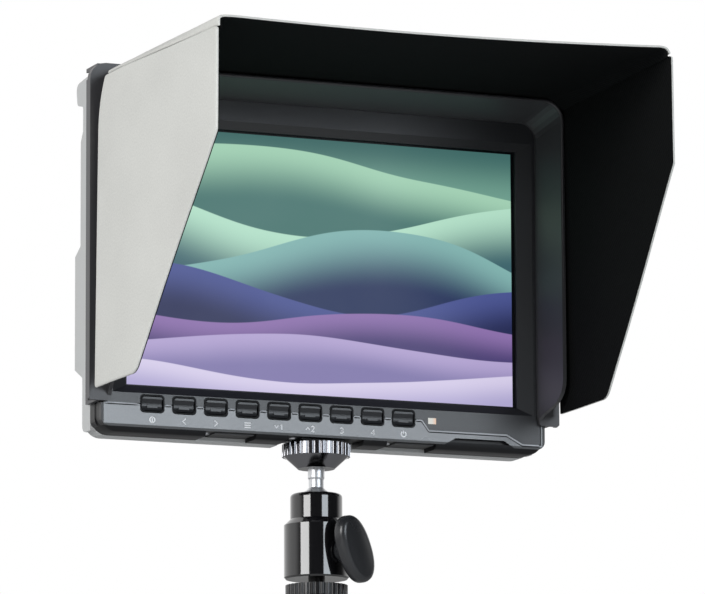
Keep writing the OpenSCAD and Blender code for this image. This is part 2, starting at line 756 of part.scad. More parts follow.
// Lower barrel: bored for the seat and the plug from above, cross-drilled for the lock screw
module barrel() color("#0d0e10") difference() {
    rotate_extrude() polygon([
        [0, barrel_z0], [barrel_r - 0.6, barrel_z0], [barrel_r, barrel_z0 + 0.6], [barrel_r, barrel_z1],
        [collar_r, collar_z0], [0, collar_z0]
    ]);
    // bore above, and the stud's hole below
    translate([0, 0, 19]) cylinder(r = 7.6, h = 20);
    translate([0, 0, barrel_z0 - 1]) cylinder(r = stud_r, h = 7);
    rotate(knob_turn - 90) translate([0, 0, knob_z]) rotate([0, 90, 0]) cylinder(r = 2.5, h = 20);
}

collar_bore = 8.1;
mouth_r = 5.8;
module collar() color("#0d0e10") rotate_extrude() polygon(outline([
    [collar_bore, collar_z0, 0], [collar_r, collar_z0, 0], [collar_r, collar_z1, 1.4],
    [mouth_r + 0.3, collar_z1, 0.3], [mouth_r, collar_z1 - 0.8, 0],
    [collar_bore, ball_z + 2.4, 0]
]));

// Nylon seat that the ball turns in
seat_r = ball_r + 0.12;
module ball_seat() color("#e8e6df") rotate_extrude() polygon(concat(
    [for (a = [-42:7:28]) [seat_r * cos(a), ball_z + seat_r * sin(a)]],
    [[collar_bore - 0.25, ball_z + 1.8], [collar_bore - 0.25, collar_z0 + 0.1], [7.35, collar_z0 + 0.1],
     [7.35, ball_z - 5.6], [seat_r * cos(42), ball_z - 5.6]]
));

// Ball, stem and the stud that enters the monitor
module ball_stem() color("#c7c9cb") rotate_extrude() polygon(concat(
    [[0, ball_z - ball_r]],
    [for (a = [-80:10:60]) [ball_r * cos(a), ball_z + ball_r * sin(a)]],
    [[stem_r, ball_z + 6.5], [stem_r, underside_z - 14], [stud_r, underside_z - 13.4],
     [stud_r, underside_z + stud_in - 0.7], [stud_r - 0.6, underside_z + stud_in], [0, underside_z + stud_in]]
));

// Plug that the lock screw drives up against the seat
module lock_plug() color("#b08d3e") rotate_extrude()
    polygon([[0, 23.6], [5, 23.6], [6.9, 25.6], [6.9, 32.2], [5.1, 32.2], [0, 30.9]]);

// Places the children on the lock screw's axis, +X outwards
module at_lock() rotate(knob_turn - 90) translate([0, 0, knob_z]) children();

module lock_screw() color("#8f9296") at_lock() rotate([0, 90, 0]) {
    translate([0, 0, 3.2]) cylinder(r = 2.4, h = 15);
    translate([0, 0, 1.4]) cylinder(r1 = 1.2, r2 = 2.4, h = 1.8 + eps);
}

// Oval wing knob moulded on the lock screw
knob_lean = 26;
knob_len = 25.5;
knob_w = 11.4;
module lock_knob() color("#202225") at_lock() difference() {
    union() {
        rotate([0, 90, 0]) translate([0, 0, barrel_r + 0.3]) cylinder(r = 4.2, h = 5);
        rotate([knob_lean, 0, 0]) hull() for (s = [-1, 1]) {
            translate([15.8, 0, s * (knob_len - knob_w) / 2]) rotate([0, 90, 0]) cylinder(r = knob_w / 2 - 0.9, h = 6.2, $fn = 32);
            translate([16.8, 0, s * (knob_len - knob_w) / 2]) rotate([0, 90, 0]) cylinder(r = knob_w / 2, h = 3.6, $fn = 32);
        }
    }
    rotate([0, 90, 0]) cylinder(r = 2.4, h = 18.2);
}

// Knurled wheel that locks the monitor on its stud
module lock_wheel() color("#5a5c60") difference() {
    union() {
        translate([0, 0, wheel_top - wheel_knurl_h]) fluted_disc(wheel_r, wheel_knurl_h, wheel_flutes);
        translate([0, 0, wheel_top - wheel_knurl_h - wheel_cone_h])
            cylinder(r1 = 6.7, r2 = wheel_r - 0.8, h = wheel_cone_h + eps);
    }
    translate([0, 0, underside_z - 14]) cylinder(r = wheel_bore_r, h = 20);
}

module wheel_washer() color("#0b0b0c") translate([0, 0, wheel_top + 0.05]) difference() {
    cylinder(r = 9.5, h = washer_t);
    translate([0, 0, -1]) cylinder(r = stud_r + 0.1, h = 3);
}

// ---------------------------------------------------------------- drawing

front_bezel();
control_fascia();
key_surrounds();
led_window();
key_1();
key_2();
key_3();
key_4();
key_5();
key_6();
key_7();
key_8();
key_9();
key_board();
tact_switches();
lcd_glass();
lcd_frame();
mainboard();
speaker();
rear_cover();
rear_screws();
thread_insert();
underside_screws();
battery_plate();
battery_contacts();
battery_latch();
hdmi_port();
dc_jack();
headphone_jack();
hood_frame();
hood_band();
hood_top_flap();
hood_top_lining();
hood_left_flap();
hood_left_lining();
hood_right_flap();
hood_right_lining();
shoe_foot();
shoe_disc();
shoe_washer();
barrel();
collar();
ball_seat();
ball_stem();
lock_plug();
lock_screw();
lock_knob();
lock_wheel();
wheel_washer();
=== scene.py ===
"""Looks of a camera field monitor with a folding sun hood on a mini ball head.

Lengths in the classes are millimetres in the part's own frame: the origin is the centre of the shoe foot's
underside, +X is the viewer's right, +Y points away from the viewer and +Z is up. Meshes are made in metres.
"""

import logging
import math
from dataclasses import dataclass, field
from enum import Enum

import bpy
import numpy as np
from mathutils import Matrix, Vector


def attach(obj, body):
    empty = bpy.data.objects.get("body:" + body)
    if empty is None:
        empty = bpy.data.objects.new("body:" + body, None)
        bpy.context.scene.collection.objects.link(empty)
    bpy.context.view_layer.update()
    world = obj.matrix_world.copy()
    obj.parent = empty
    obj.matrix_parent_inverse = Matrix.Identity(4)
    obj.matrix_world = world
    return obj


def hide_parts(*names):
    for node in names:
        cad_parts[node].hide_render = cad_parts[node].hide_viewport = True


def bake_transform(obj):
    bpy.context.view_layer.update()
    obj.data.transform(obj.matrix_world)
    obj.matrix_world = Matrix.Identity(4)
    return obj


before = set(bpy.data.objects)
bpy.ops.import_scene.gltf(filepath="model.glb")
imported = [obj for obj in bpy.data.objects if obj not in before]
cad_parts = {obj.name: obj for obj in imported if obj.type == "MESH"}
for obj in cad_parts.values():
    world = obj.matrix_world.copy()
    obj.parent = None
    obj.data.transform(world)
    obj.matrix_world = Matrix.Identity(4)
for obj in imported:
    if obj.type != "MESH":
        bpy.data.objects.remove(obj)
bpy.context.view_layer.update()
LOG = logging.getLogger("monitor")
MM = 0.001
TURN = 6.2832

Color = tuple[float, float, float]
Point = tuple[float, float, float]


# ---------------------------------------------------------------- surfaces


def grid_faces(rows: int, cols: int, wrap: bool = False) -> np.ndarray:
    """Quads of a grid of points, row by row.

    Args:
        rows: points down the grid.
        cols: points along each row.
        wrap: joins the last column to the first.

    Returns:
        An array of quads, four point numbers each.
    """
    i, j = np.meshgrid(np.arange(rows - 1), np.arange(cols if wrap else cols - 1), indexing="ij")
    k = (j + 1) % cols
    return np.stack([i * cols + j, (i + 1) * cols + j, (i + 1) * cols + k, i * cols + k], -1).reshape(-1, 4)


def shell_faces(rows: int, cols: int) -> np.ndarray:
    """Quads of a closed shell: an outer grid, the inner grid turned round, and the rim that joins their borders.

    Args:
        rows: rows of each grid.
        cols: columns of each grid.

    Returns:
        The quads, with the inner grid's points numbered after the outer's.
    """
    count = rows * cols
    face = grid_faces(rows, cols)
    down = np.arange(rows) * cols
    last = (rows - 1) * cols + np.arange(1, cols)
    border = np.concatenate([down, last, down[::-1][1:] + cols - 1, np.arange(cols - 2, 0, -1)])
    after = np.roll(border, -1)
    rim = np.stack([after, border, border + count, after + count], -1)
    return np.concatenate([face, face[:, ::-1] + count, rim])


def outward(points: np.ndarray, faces: np.ndarray) -> np.ndarray:
    """Turns every face round where the closed mesh's signed volume, the sum of a.(b x c), is negative.

    Args:
        points: the mesh's points.
        faces: its quads, wound one way all over.

    Returns:
        The quads, wound so that they face out.
    """
    a, b, c, d = (points[faces[:, k]] for k in range(4))
    volume = (a * np.cross(b, c)).sum() + (a * np.cross(c, d)).sum()
    return faces if volume > 0 else faces[:, ::-1]


def merge(parts: list[tuple[np.ndarray, np.ndarray]]) -> tuple[np.ndarray, np.ndarray]:
    """Joins closed meshes into one, each with its faces turned outward.

    Args:
        parts: the points and quads of each.

    Returns:
        The points and quads of all.
    """
    shifts = np.cumsum([0] + [len(points) for points, _ in parts[:-1]])
    faces = [outward(points, quads) + shift for (points, quads), shift in zip(parts, shifts)]
    return np.concatenate([points for points, _ in parts]), np.concatenate(faces)


def make_piece(
    name: str, points: np.ndarray, faces: np.ndarray, uv: np.ndarray | None = None, angle: float = 35
) -> bpy.types.Object:
    """Makes a mesh object from points in millimetres.

    Args:
        name: the piece's name.
        points: an array of points, three numbers each.
        faces: quads that close the mesh.
        uv: one pair per point, in metres, for a pattern that follows the surface.
        angle: the edge angle in degrees under which shading runs smoothly across.

    Returns:
        The object, linked to the scene, with its place in its mesh.
    """
    mesh = bpy.data.meshes.new(name)
    mesh.from_pydata((points * MM).tolist(), [], outward(points, faces).tolist())
    mesh.update()
    if uv is not None:
        layer = mesh.uv_layers.new(name="surface")
        loops = np.empty(len(mesh.loops), int)
        mesh.loops.foreach_get("vertex_index", loops)
        layer.data.foreach_set("uv", uv[loops].astype(np.float32).ravel())
    mesh.set_sharp_from_angle(angle=math.radians(angle))
    mesh.polygons.foreach_set("use_smooth", np.ones(len(mesh.polygons), bool))
    piece = bpy.data.objects.new(name, mesh)
    bpy.context.scene.collection.objects.link(piece)
    return piece


def end_caps(rows: int, sides: int) -> list[np.ndarray]:
    """Fans of quads that close the first and the last ring of a wrapped grid.

    Args:
        rows: rings in the grid.
        sides: an even number of points round each.

    Returns:
        The quads of each end.
    """
    ends = [np.arange(sides)[::-1], (rows - 1) * sides + np.arange(sides)]
    return [np.stack([np.full(sides // 2 - 1, e[0]), e[1:-2:2], e[2:-1:2], e[3::2]], -1) for e in ends]


def tube(path: np.ndarray, radius: float, sides: int = 10) -> tuple[np.ndarray, np.ndarray]:
    """A round bead: a circle carried along a path, square to it, with both ends drawn to a point.

    Args:
        path: the centre line's points.
        radius: the bead's radius.
        sides: points round it.

    Returns:
        The points and quads.
    """
    ahead = np.gradient(path, axis=0)
    ahead /= np.linalg.norm(ahead, axis=1, keepdims=True)
    side = np.cross(ahead, np.array([0.3, 1.0, 0.2]))
    side /= np.linalg.norm(side, axis=1, keepdims=True)
    up = np.cross(ahead, side)
    turn = np.linspace(0, 2 * np.pi, sides, endpoint=False)
    size = np.full(len(path), radius)
    size[[0, -1]] = radius * 0.02
    ring = np.cos(turn)[None, :, None] * side[:, None] + np.sin(turn)[None, :, None] * up[:, None]
    points = (path[:, None] + ring * size[:, None, None]).reshape(-1, 3)
    return points, np.concatenate([grid_faces(len(path), sides, wrap=True), *end_caps(len(path), sides)])


def rounded(corners: list[tuple[float, float, float]], steps: int = 7) -> np.ndarray:
    """A line through corners, each rounded by an arc that touches both of its straights.

    Args:
        corners: (x, y, radius) of each corner; the two ends stay as they are.
        steps: spans of each arc.

    Returns:
        The line's points.
    """
    line = [np.array([corners[0][:2]], float)]
    for before, here, after in zip(corners, corners[1:], corners[2:]):
        a, b, c = (np.array(p[:2], float) for p in (before, here, after))
        u, w = (a - b) / np.linalg.norm(a - b), (c - b) / np.linalg.norm(c - b)
        half = math.acos(float(np.clip(u @ w, -1, 1))) / 2
        reach = here[2] / math.tan(half)
        t = np.linspace(0, 1, steps + 1)[:, None]
        start, end = b + u * reach, b + w * reach
        middle = b + (u + w) / np.linalg.norm(u + w) * here[2] / math.sin(half)
        arm = (1 - t) * (start - middle) + t * (end - middle)
        line.append(middle + arm / np.linalg.norm(arm, axis=1, keepdims=True) * here[2])
    line.append(np.array([corners[-1][:2]], float))
    return np.concatenate(line)


# ---------------------------------------------------------------- finishes


class Pattern(Enum):
    """The fine structure of a surface."""

    GRAIN = "moulded_grain"
    WEAVE = "coated_weave"
    FELT = "felt_pile"
    TURNED = "turned_rings"


@dataclass
class Graph:
    """Adds nodes to a tree and joins them."""

    tree: bpy.types.NodeTree

    def node(self, kind: str, **values: object) -> bpy.types.Node:
        """Adds a node; values set its properties, or its inputs where the name is an input's."""
        made = self.tree.nodes.new(kind)
        for key, value in values.items():
            name = key.replace("_", " ").title()
            if name in made.inputs:
                self.feed(made.inputs[name], value)
            else:
                setattr(made, key, value)
        return made

    def feed(self, socket: bpy.types.NodeSocket, value: object) -> None:
        """Links a socket into another, or sets its value."""
        if isinstance(value, bpy.types.NodeSocket):
            self.tree.links.new(value, socket)
        else:
            socket.default_value = value

    def math(
        self, operation: str, a: object, b: object = 0.0, c: object = 0.0, clamp: bool = False
    ) -> bpy.types.NodeSocket:
        """One step of arithmetic on numbers or sockets."""
        made = self.node("ShaderNodeMath", operation=operation, use_clamp=clamp)
        for socket, value in zip(made.inputs, (a, b, c)):
            self.feed(socket, value)
        return made.outputs[0]

    def mix(self, share: object, a: object, b: object, blend: str = "MIX") -> bpy.types.NodeSocket:
        """A mix of two colours."""
        made = self.node("ShaderNodeMix", data_type="RGBA", blend_type=blend, clamp_factor=True)
        for index, value in ((0, share), (6, a), (7, b)):
            if isinstance(value, tuple):
                value = (*value, 1.0)
            self.feed(made.inputs[index], value)
        return made.outputs[2]

    def noise(self, vector: object, scale: object, detail: float = 2.0, rough: float = 0.5) -> bpy.types.NodeSocket:
        """Cloudy noise from 0 to 1."""
        return self.node("ShaderNodeTexNoise", vector=vector, scale=scale, detail=detail, roughness=rough).outputs[0]

    def axes(self) -> bpy.types.bpy_prop_collection:
        """The three numbers of the place on the object, in metres."""
        place = self.node("ShaderNodeTexCoord").outputs["Object"]
        return self.node("ShaderNodeSeparateXYZ", vector=place).outputs

    def within(self, value: object, reach: float) -> bpy.types.NodeSocket:
        """1 where a value lies nearer to 0 than the reach, else 0."""
        return self.math("LESS_THAN", self.math("ABSOLUTE", value), reach)

    def span(
        self, value: object, low: float, high: float, to_low: float = 0.0, to_high: float = 1.0
    ) -> bpy.types.NodeSocket:
        """Carries low..high to to_low..to_high, smoothly and clamped."""
        made = self.node("ShaderNodeMapRange", interpolation_type="SMOOTHSTEP")
        for socket, item in zip(made.inputs, (value, low, high, to_low, to_high)):
            self.feed(socket, item)
        return made.outputs[0]


def pattern_group(pattern: Pattern) -> bpy.types.NodeTree:
    """The node group of one pattern, built once.

    Its inputs are the place on the surface, the colour and roughness, the pattern's scale in marks per metre,
    and how much the colour and roughness vary. It puts out colour, roughness and height.

    Args:
        pattern: the pattern to build.

    Returns:
        The group.
    """
    found = bpy.data.node_groups.get(pattern.value)
    if found:
        return found
    tree = bpy.data.node_groups.new(pattern.value, "ShaderNodeTree")
    kinds = {"Vector": "Vector", "Color": "Color"}
    for way, names in (
        ("INPUT", ("Vector", "Color", "Roughness", "Scale", "Vary", "Rough Vary")),
        ("OUTPUT", ("Color", "Roughness", "Height")),
    ):
        for name in names:
            tree.interface.new_socket(name=name, in_out=way, socket_type=f"NodeSocket{kinds.get(name, 'Float')}")
    graph = Graph(tree)
    given = graph.node("NodeGroupInput").outputs
    place, scale = given["Vector"], given["Scale"]
    cloud = graph.noise(place, 28.0, 3.0)
    if pattern is Pattern.GRAIN:
        fine = graph.noise(place, scale, 2.0, 0.6)
    elif pattern is Pattern.WEAVE:
        split = graph.node("ShaderNodeSeparateXYZ", vector=place).outputs
        turns = graph.math("MULTIPLY", scale, TURN)
        warp, weft = (graph.math("SINE", graph.math("MULTIPLY", split[axis], turns)) for axis in (0, 1))
        thread = graph.math("MULTIPLY_ADD", graph.math("MULTIPLY", warp, weft), 0.5, 0.5)
        speck = graph.noise(place, graph.math("MULTIPLY", scale, 0.9), 2.0, 0.6)
        fine = graph.math("MULTIPLY_ADD", thread, 0.3, graph.math("MULTIPLY", speck, 0.7))
    elif pattern is Pattern.FELT:
        split = graph.node("ShaderNodeSeparateXYZ", vector=place).outputs
        slant = graph.math("ADD", split[0], graph.math("MULTIPLY", split[1], 0.7))
        rib = graph.math("SINE", graph.math("MULTIPLY", slant, graph.math("MULTIPLY", scale, 3.2)))
        pile = graph.noise(place, scale, 4.0, 0.7)
        fine = graph.math("MULTIPLY_ADD", rib, 0.22, pile)
    else:
        stretched = graph.node("ShaderNodeMapping", vector=place).outputs[0]
        stretched.node.inputs["Scale"].default_value = (0.02, 0.02, 1.0)
        fine = graph.noise(stretched, scale, 3.0, 0.6)
    drift = graph.math("SUBTRACT", cloud, 0.5)
    shade = graph.math("ADD", graph.math("SUBTRACT", fine, 0.5), graph.math("MULTIPLY", drift, 0.5))
    gain = graph.math("MULTIPLY_ADD", shade, given["Vary"], 1.0)
    color = graph.node("ShaderNodeVectorMath", operation="SCALE")
    graph.feed(color.inputs[0], given["Color"])
    graph.feed(color.inputs["Scale"], gain)
    rough = graph.math("MULTIPLY_ADD", drift, given["Rough Vary"], given["Roughness"], clamp=True)
    out = graph.node("NodeGroupOutput")
    graph.feed(out.inputs["Color"], color.outputs[0])
    graph.feed(out.inputs["Roughness"], rough)
    graph.feed(out.inputs["Height"], fine)
    return tree


@dataclass(frozen=True)
class Finish:
    """One surface finish: its colour, its gloss and its fine pattern."""

    name: str
    color: Color
    roughness: float = 0.5
    metallic: float = 0.0
    specular: float = 0.5
    coat: float = 0.0
    coat_roughness: float = 0.06
    sheen: float = 0.0
    pattern: Pattern = Pattern.GRAIN
    scale: float = 2600.0
    vary: float = 0.12
    rough_vary: float = 0.15
    depth: float = 0.00002
    on_uv: bool = False

    def shader(self, material: bpy.types.Material) -> tuple[Graph, bpy.types.Node, bpy.types.Node]:
        """Lays the pattern and the principled shader into a material.

        Args:
            material: the material, with nodes in use.

        Returns:
            The graph, the pattern's node and the shader's node.
        """
        graph = Graph(material.node_tree)
        shader = material.node_tree.nodes["Principled BSDF"]
        coordinate = graph.node("ShaderNodeTexCoord")
        pattern = graph.node("ShaderNodeGroup")
        pattern.node_tree = pattern_group(self.pattern)
        place = coordinate.outputs["UV" if self.on_uv else "Object"]
        given = {
            "Vector": place, "Color": (*self.color, 1.0), "Roughness": self.roughness, "Scale": self.scale,
            "Vary": self.vary, "Rough Vary": self.rough_vary,
        }
        for key, value in given.items():
            graph.feed(pattern.inputs[key], value)
        bump = graph.node("ShaderNodeBump", strength=1.0, distance=self.depth)
        graph.feed(bump.inputs["Height"], pattern.outputs["Height"])
        graph.feed(shader.inputs["Base Color"], pattern.outputs["Color"])
        graph.feed(shader.inputs["Roughness"], pattern.outputs["Roughness"])
        graph.feed(shader.inputs["Normal"], bump.outputs["Normal"])
        plain = {
            "Metallic": self.metallic, "Specular IOR Level": self.specular, "Coat Weight": self.coat,
            "Coat Roughness": self.coat_roughness, "Sheen Weight": self.sheen,
        }
        for key, value in plain.items():
            shader.inputs[key].default_value = value
        return graph, pattern, shader

    def material(self) -> bpy.types.Material:
        """The finish's material, built once."""
        found = bpy.data.materials.get(self.name)
        if found:
            return found
        made = bpy.data.materials.new(self.name)
        made.use_nodes = True
        self.compose(made)
        return made

    def compose(self, material: bpy.types.Material) -> None:
        """Fills the material's node tree."""
        self.shader(material)


@dataclass(frozen=True)
class FrontFinish(Finish):
    """A black moulding whose front faces get a lighter satin colour that paints the front lamp's reflection; its outer
    sides, underside and recess keep the plain black.
    """

    side_x: float = 85.2
    low_z: float = 62.3
    high_z: float = 189.95
    recess_y: float = -9.7
    recess_z: float = 65.0
    black: Color = (0.006, 0.006, 0.007)
    black_roughness: float = 0.5

    def compose(self, material: bpy.types.Material) -> None:
        """The lighter colour, a painted reflection, inside the front outline; plain black on the rest."""
        graph, pattern, shader = self.shader(material)
        x, y, z = graph.axes()
        above = graph.math("GREATER_THAN", z, self.low_z * MM)
        below = graph.math("LESS_THAN", z, self.high_z * MM)
        front = graph.math("MULTIPLY", graph.within(x, self.side_x * MM), graph.math("MULTIPLY", above, below))
        behind = graph.math("GREATER_THAN", y, self.recess_y * MM)
        sunk = graph.math("MULTIPLY", behind, graph.math("LESS_THAN", z, self.recess_z * MM))
        front = graph.math("MULTIPLY", front, graph.math("SUBTRACT", 1.0, sunk))
        # The front faces' lighter base colour is a painted reflection of the front lamp on black plastic.
        graph.feed(shader.inputs["Base Color"], graph.mix(front, self.black, pattern.outputs["Color"]))
        gain = graph.math("SUBTRACT", pattern.outputs["Roughness"], self.black_roughness)
        graph.feed(shader.inputs["Roughness"], graph.math("MULTIPLY_ADD", front, gain, self.black_roughness))


@dataclass(frozen=True)
class ScreenFinish(Finish):
    """The display: layered waves from mint down to lilac, behind a black border."""

    center_z: float = 124.0
    width: float = 150.8
    height: float = 94.2
    lit_u: float = 0.4985
    lit_v: float = 0.4975
    bend: float = 0.16

    def compose(self, material: bpy.types.Material) -> None:
        """Lays the picture into the emission colour."""
        graph, _, shader = self.shader(material)
        x, _, z = graph.axes()
        u = graph.math("MULTIPLY_ADD", x, 1 / (self.width * MM), 0.5)
        v = graph.math("MULTIPLY_ADD", graph.math("SUBTRACT", z, self.center_z * MM), 1 / (self.height * MM), 0.5)
        flat = graph.node("ShaderNodeCombineXYZ", x=u, y=v, z=0.0).outputs[0]
        drift = graph.math("SUBTRACT", graph.noise(flat, 1.3, 1.0), 0.5)
        picture = graph.mix(graph.span(v, 0.8, 1.0), (0.16, 0.34, 0.27), (0.05, 0.14, 0.13))
        for wave in WAVES:
            cover, color = self.wave(graph, u, v, drift, wave)
            picture = graph.mix(cover, picture, color)
        sides = graph.within(graph.math("SUBTRACT", u, 0.5), self.lit_u)
        lit = graph.math("MULTIPLY", sides, graph.within(graph.math("SUBTRACT", v, 0.5), self.lit_v))
        graph.feed(shader.inputs["Emission Color"], graph.mix(lit, (0.0, 0.0, 0.0), picture))
        shader.inputs["Emission Strength"].default_value = 1.0

    def wave(
        self, graph: Graph, u: bpy.types.NodeSocket, v: bpy.types.NodeSocket, drift: bpy.types.NodeSocket, wave: "Wave"
    ) -> tuple[bpy.types.NodeSocket, bpy.types.NodeSocket]:
        """One layer of the picture: everything below a slow sine line, shaded from its crest down.

        Args:
            graph: the material's graph.
            u: the place across the picture.
            v: the place up the picture.
            drift: slow noise that bends the line.
            wave: the layer's shape and colours.

        Returns:
            Where the layer covers what is behind it, 0 to 1, and its colour.
        """
        swell = graph.math("SINE", graph.math("MULTIPLY_ADD", u, TURN * wave.turns, wave.phase))
        level = graph.math("MULTIPLY_ADD", drift, self.bend, wave.place)
        line = graph.math("MULTIPLY_ADD", swell, wave.swing, level)
        past = graph.math("SUBTRACT", v, line)
        shade = graph.mix(graph.span(past, -wave.fade, 0.0), wave.foot, wave.crest)
        return graph.span(past, -0.002, 0.002, 1.0, 0.0), shade


@dataclass(frozen=True)
class Wave:
    """A layer of the picture: shares of its height, turns across its width, and colours."""

    place: float
    swing: float
    turns: float
    phase: float
    fade: float
    crest: Color
    foot: Color


WAVES = [
    Wave(0.88, 0.07, 0.6, 0.3, 0.22, (0.36, 0.62, 0.45), (0.06, 0.17, 0.15)),
    Wave(0.72, 0.11, 0.7, 2.6, 0.24, (0.44, 0.72, 0.56), (0.05, 0.13, 0.15)),
    Wave(0.55, 0.10, 0.8, 4.6, 0.22, (0.22, 0.44, 0.42), (0.016, 0.03, 0.10)),
    Wave(0.41, 0.07, 0.9, 1.3, 0.16, (0.07, 0.09, 0.28), (0.02, 0.025, 0.09)),
    Wave(0.31, 0.04, 1.1, 3.3, 0.12, (0.26, 0.16, 0.40), (0.07, 0.05, 0.17)),
    Wave(0.21, 0.04, 0.8, 5.6, 0.12, (0.44, 0.36, 0.62), (0.22, 0.19, 0.40)),
    Wave(0.09, 0.03, 0.9, 1.9, 0.12, (0.66, 0.60, 0.80), (0.42, 0.38, 0.62)),
]


@dataclass(frozen=True)
class LampFinish(Finish):
    """The small lamp's window: pale, with an amber glow towards one edge."""

    glow_x: tuple[float, float] = (41.2, 42.7)
    glow: float = 0.42

    def compose(self, material: bpy.types.Material) -> None:
        """Lays the glow into the emission colour."""
        graph, _, shader = self.shader(material)
        share = graph.span(graph.axes()[0], self.glow_x[0] * MM, self.glow_x[1] * MM)
        graph.feed(shader.inputs["Emission Color"], graph.mix(share, (0.62, 0.6, 0.55), (0.85, 0.33, 0.06)))
        shader.inputs["Emission Strength"].default_value = self.glow


# FRONT and BEZEL paint the front lamp's reflection as a lighter colour on the front faces.
FRONT = FrontFinish(
    "front_painted_reflection", (0.06, 0.064, 0.07), roughness=0.28, specular=1.0, scale=1900, vary=0.25, rough_vary=0.06,
    depth=0.00003)
BEZEL = FrontFinish(
    "bezel_painted_reflection", (0.02, 0.021, 0.0235), roughness=0.34, specular=0.6, scale=1900, vary=0.25, rough_vary=0.06,
    depth=0.00003)
PANEL = ScreenFinish("display", (0.004, 0.005, 0.007), roughness=0.32, specular=0.16, depth=0.000004, vary=0.1)
LAMP = LampFinish("lamp_window", (0.5, 0.48, 0.43), roughness=0.3, depth=0.000004)
COVER = Finish("pale_cover", (0.52, 0.53, 0.53), roughness=0.46, specular=0.4, scale=2200, vary=0.06, depth=0.00003)
RIM = Finish("rim_gloss", (0.004, 0.004, 0.005), roughness=0.42, specular=0.12, depth=0.000004, vary=0.1)
CAP = Finish("key_satin", (0.016, 0.017, 0.02), roughness=0.3, specular=0.45, scale=2400, depth=0.000012)
HOOD_PLASTIC = Finish(
    "hood_plastic", (0.005, 0.0053, 0.006), roughness=0.55, specular=0.12, scale=2300, depth=0.00003, vary=0.2)
FABRIC = Finish(
    "coated_fabric", (0.67, 0.675, 0.645), roughness=0.62, specular=0.3, sheen=0.1, pattern=Pattern.WEAVE,
    scale=1500, vary=0.42, rough_vary=0.1, depth=0.00008, on_uv=True)
FELT = Finish(
    "felt_lining", (0.006, 0.0064, 0.0066), roughness=0.95, specular=0.08, pattern=Pattern.FELT, scale=1400,
    vary=0.9, depth=0.0002, on_uv=True)
GLOSS_BLACK = Finish(
    "gloss_black", (0.005, 0.005, 0.006), roughness=0.09, specular=0.6, coat=0.55, pattern=Pattern.TURNED,
    scale=2500, depth=0.000002, vary=0.1, rough_vary=0.05)
ANODISED = Finish(
    "anodised_black", (0.012, 0.012, 0.013), roughness=0.3, metallic=0.3, specular=0.7, scale=3000, depth=0.00001)
BLACK_CHROME = Finish(
    "black_chrome", (0.32, 0.33, 0.35), roughness=0.24, metallic=1.0, pattern=Pattern.TURNED, scale=4000,
    depth=0.000004)
BRIGHT_STEEL = Finish(
    "bright_steel", (0.62, 0.63, 0.64), roughness=0.16, metallic=1.0, pattern=Pattern.TURNED, scale=3500,
    depth=0.000005, vary=0.1)
ZINC = Finish("zinc_steel", (0.5, 0.51, 0.53), roughness=0.3, metallic=1.0, depth=0.00001)
SHEET_STEEL = Finish("sheet_steel", (0.5, 0.5, 0.51), roughness=0.35, metallic=1.0, depth=0.00001)
BLACK_STEEL = Finish("black_oxide", (0.02, 0.02, 0.021), roughness=0.34, metallic=0.6, specular=0.7, depth=0.00001)
BRASS = Finish(
    "turned_brass", (0.6, 0.42, 0.16), roughness=0.28, metallic=1.0, pattern=Pattern.TURNED, scale=3000,
    depth=0.00001)
DARK_PLASTIC = Finish("dark_plastic", (0.012, 0.012, 0.013), roughness=0.45, depth=0.00002)
KNOB = Finish("knob_satin", (0.02, 0.021, 0.0235), roughness=0.28, specular=0.6, scale=2400, depth=0.00002)
RUBBER = Finish("rubber", (0.012, 0.012, 0.012), roughness=0.8, depth=0.00003)
NYLON = Finish("nylon", (0.7, 0.69, 0.65), roughness=0.45, depth=0.00001)
BOARD = Finish("circuit_board", (0.012, 0.1, 0.04), roughness=0.35, depth=0.00001)
SKIRT = Finish("skirt_black", (0.006, 0.006, 0.007), roughness=0.42, specular=0.25, depth=0.00001)
# A pale colour for the fascia's lip: a painted highlight, not the black plastic's own colour.
LIP = Finish("lip_painted_highlight", (0.5, 0.52, 0.55), roughness=0.35, specular=0.7, depth=0.000004)
INK = Finish("white_ink", (0.9, 0.91, 0.92), roughness=0.5, vary=0.05, depth=0.000002)

CAD_FINISHES: dict[str, Finish] = {
    "front_bezel": BEZEL, "control_fascia": FRONT, "key_surrounds": RIM, "led_window": LAMP,
    "key_board": BOARD, "tact_switches": SHEET_STEEL, "lcd_glass": PANEL, "lcd_frame": SHEET_STEEL,
    "mainboard": BOARD, "speaker": DARK_PLASTIC, "rear_cover": COVER, "rear_screws": BLACK_STEEL,
    "thread_insert": BRASS, "underside_screws": ZINC, "battery_plate": DARK_PLASTIC, "battery_contacts": BRASS,
    "battery_latch": DARK_PLASTIC, "hdmi_port": SHEET_STEEL, "dc_jack": DARK_PLASTIC, "headphone_jack": DARK_PLASTIC,
    "hood_frame": HOOD_PLASTIC, "shoe_foot": BLACK_STEEL, "shoe_disc": ANODISED, "shoe_washer": RUBBER,
    "barrel": GLOSS_BLACK, "collar": GLOSS_BLACK, "ball_seat": NYLON, "ball_stem": BRIGHT_STEEL, "lock_plug": BRASS,
    "lock_screw": ZINC, "lock_knob": KNOB, "lock_wheel": BLACK_CHROME, "wheel_washer": RUBBER,
    **{f"key_{number}": CAP for number in range(1, 10)},
}


def dress(piece: bpy.types.Object, finish: Finish) -> None:
    """Gives a piece one finish all over."""
    piece.data.materials.clear()
    piece.data.materials.append(finish.material())


def mount(piece: bpy.types.Object, finish: Finish, body: str) -> None:
    """Dresses a hard piece and lets it ride on a body."""
    dress(piece, finish)
    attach(piece, body)
    LOG.info("made %s", piece.name)


def dress_nodes() -> None:
    """Gives every hard node of the part its finish."""
    for name, finish in CAD_FINISHES.items():
        dress(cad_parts[name], finish)
        LOG.info("dressed %s in %s", name, finish.name)


# ---------------------------------------------------------------- hood fabric


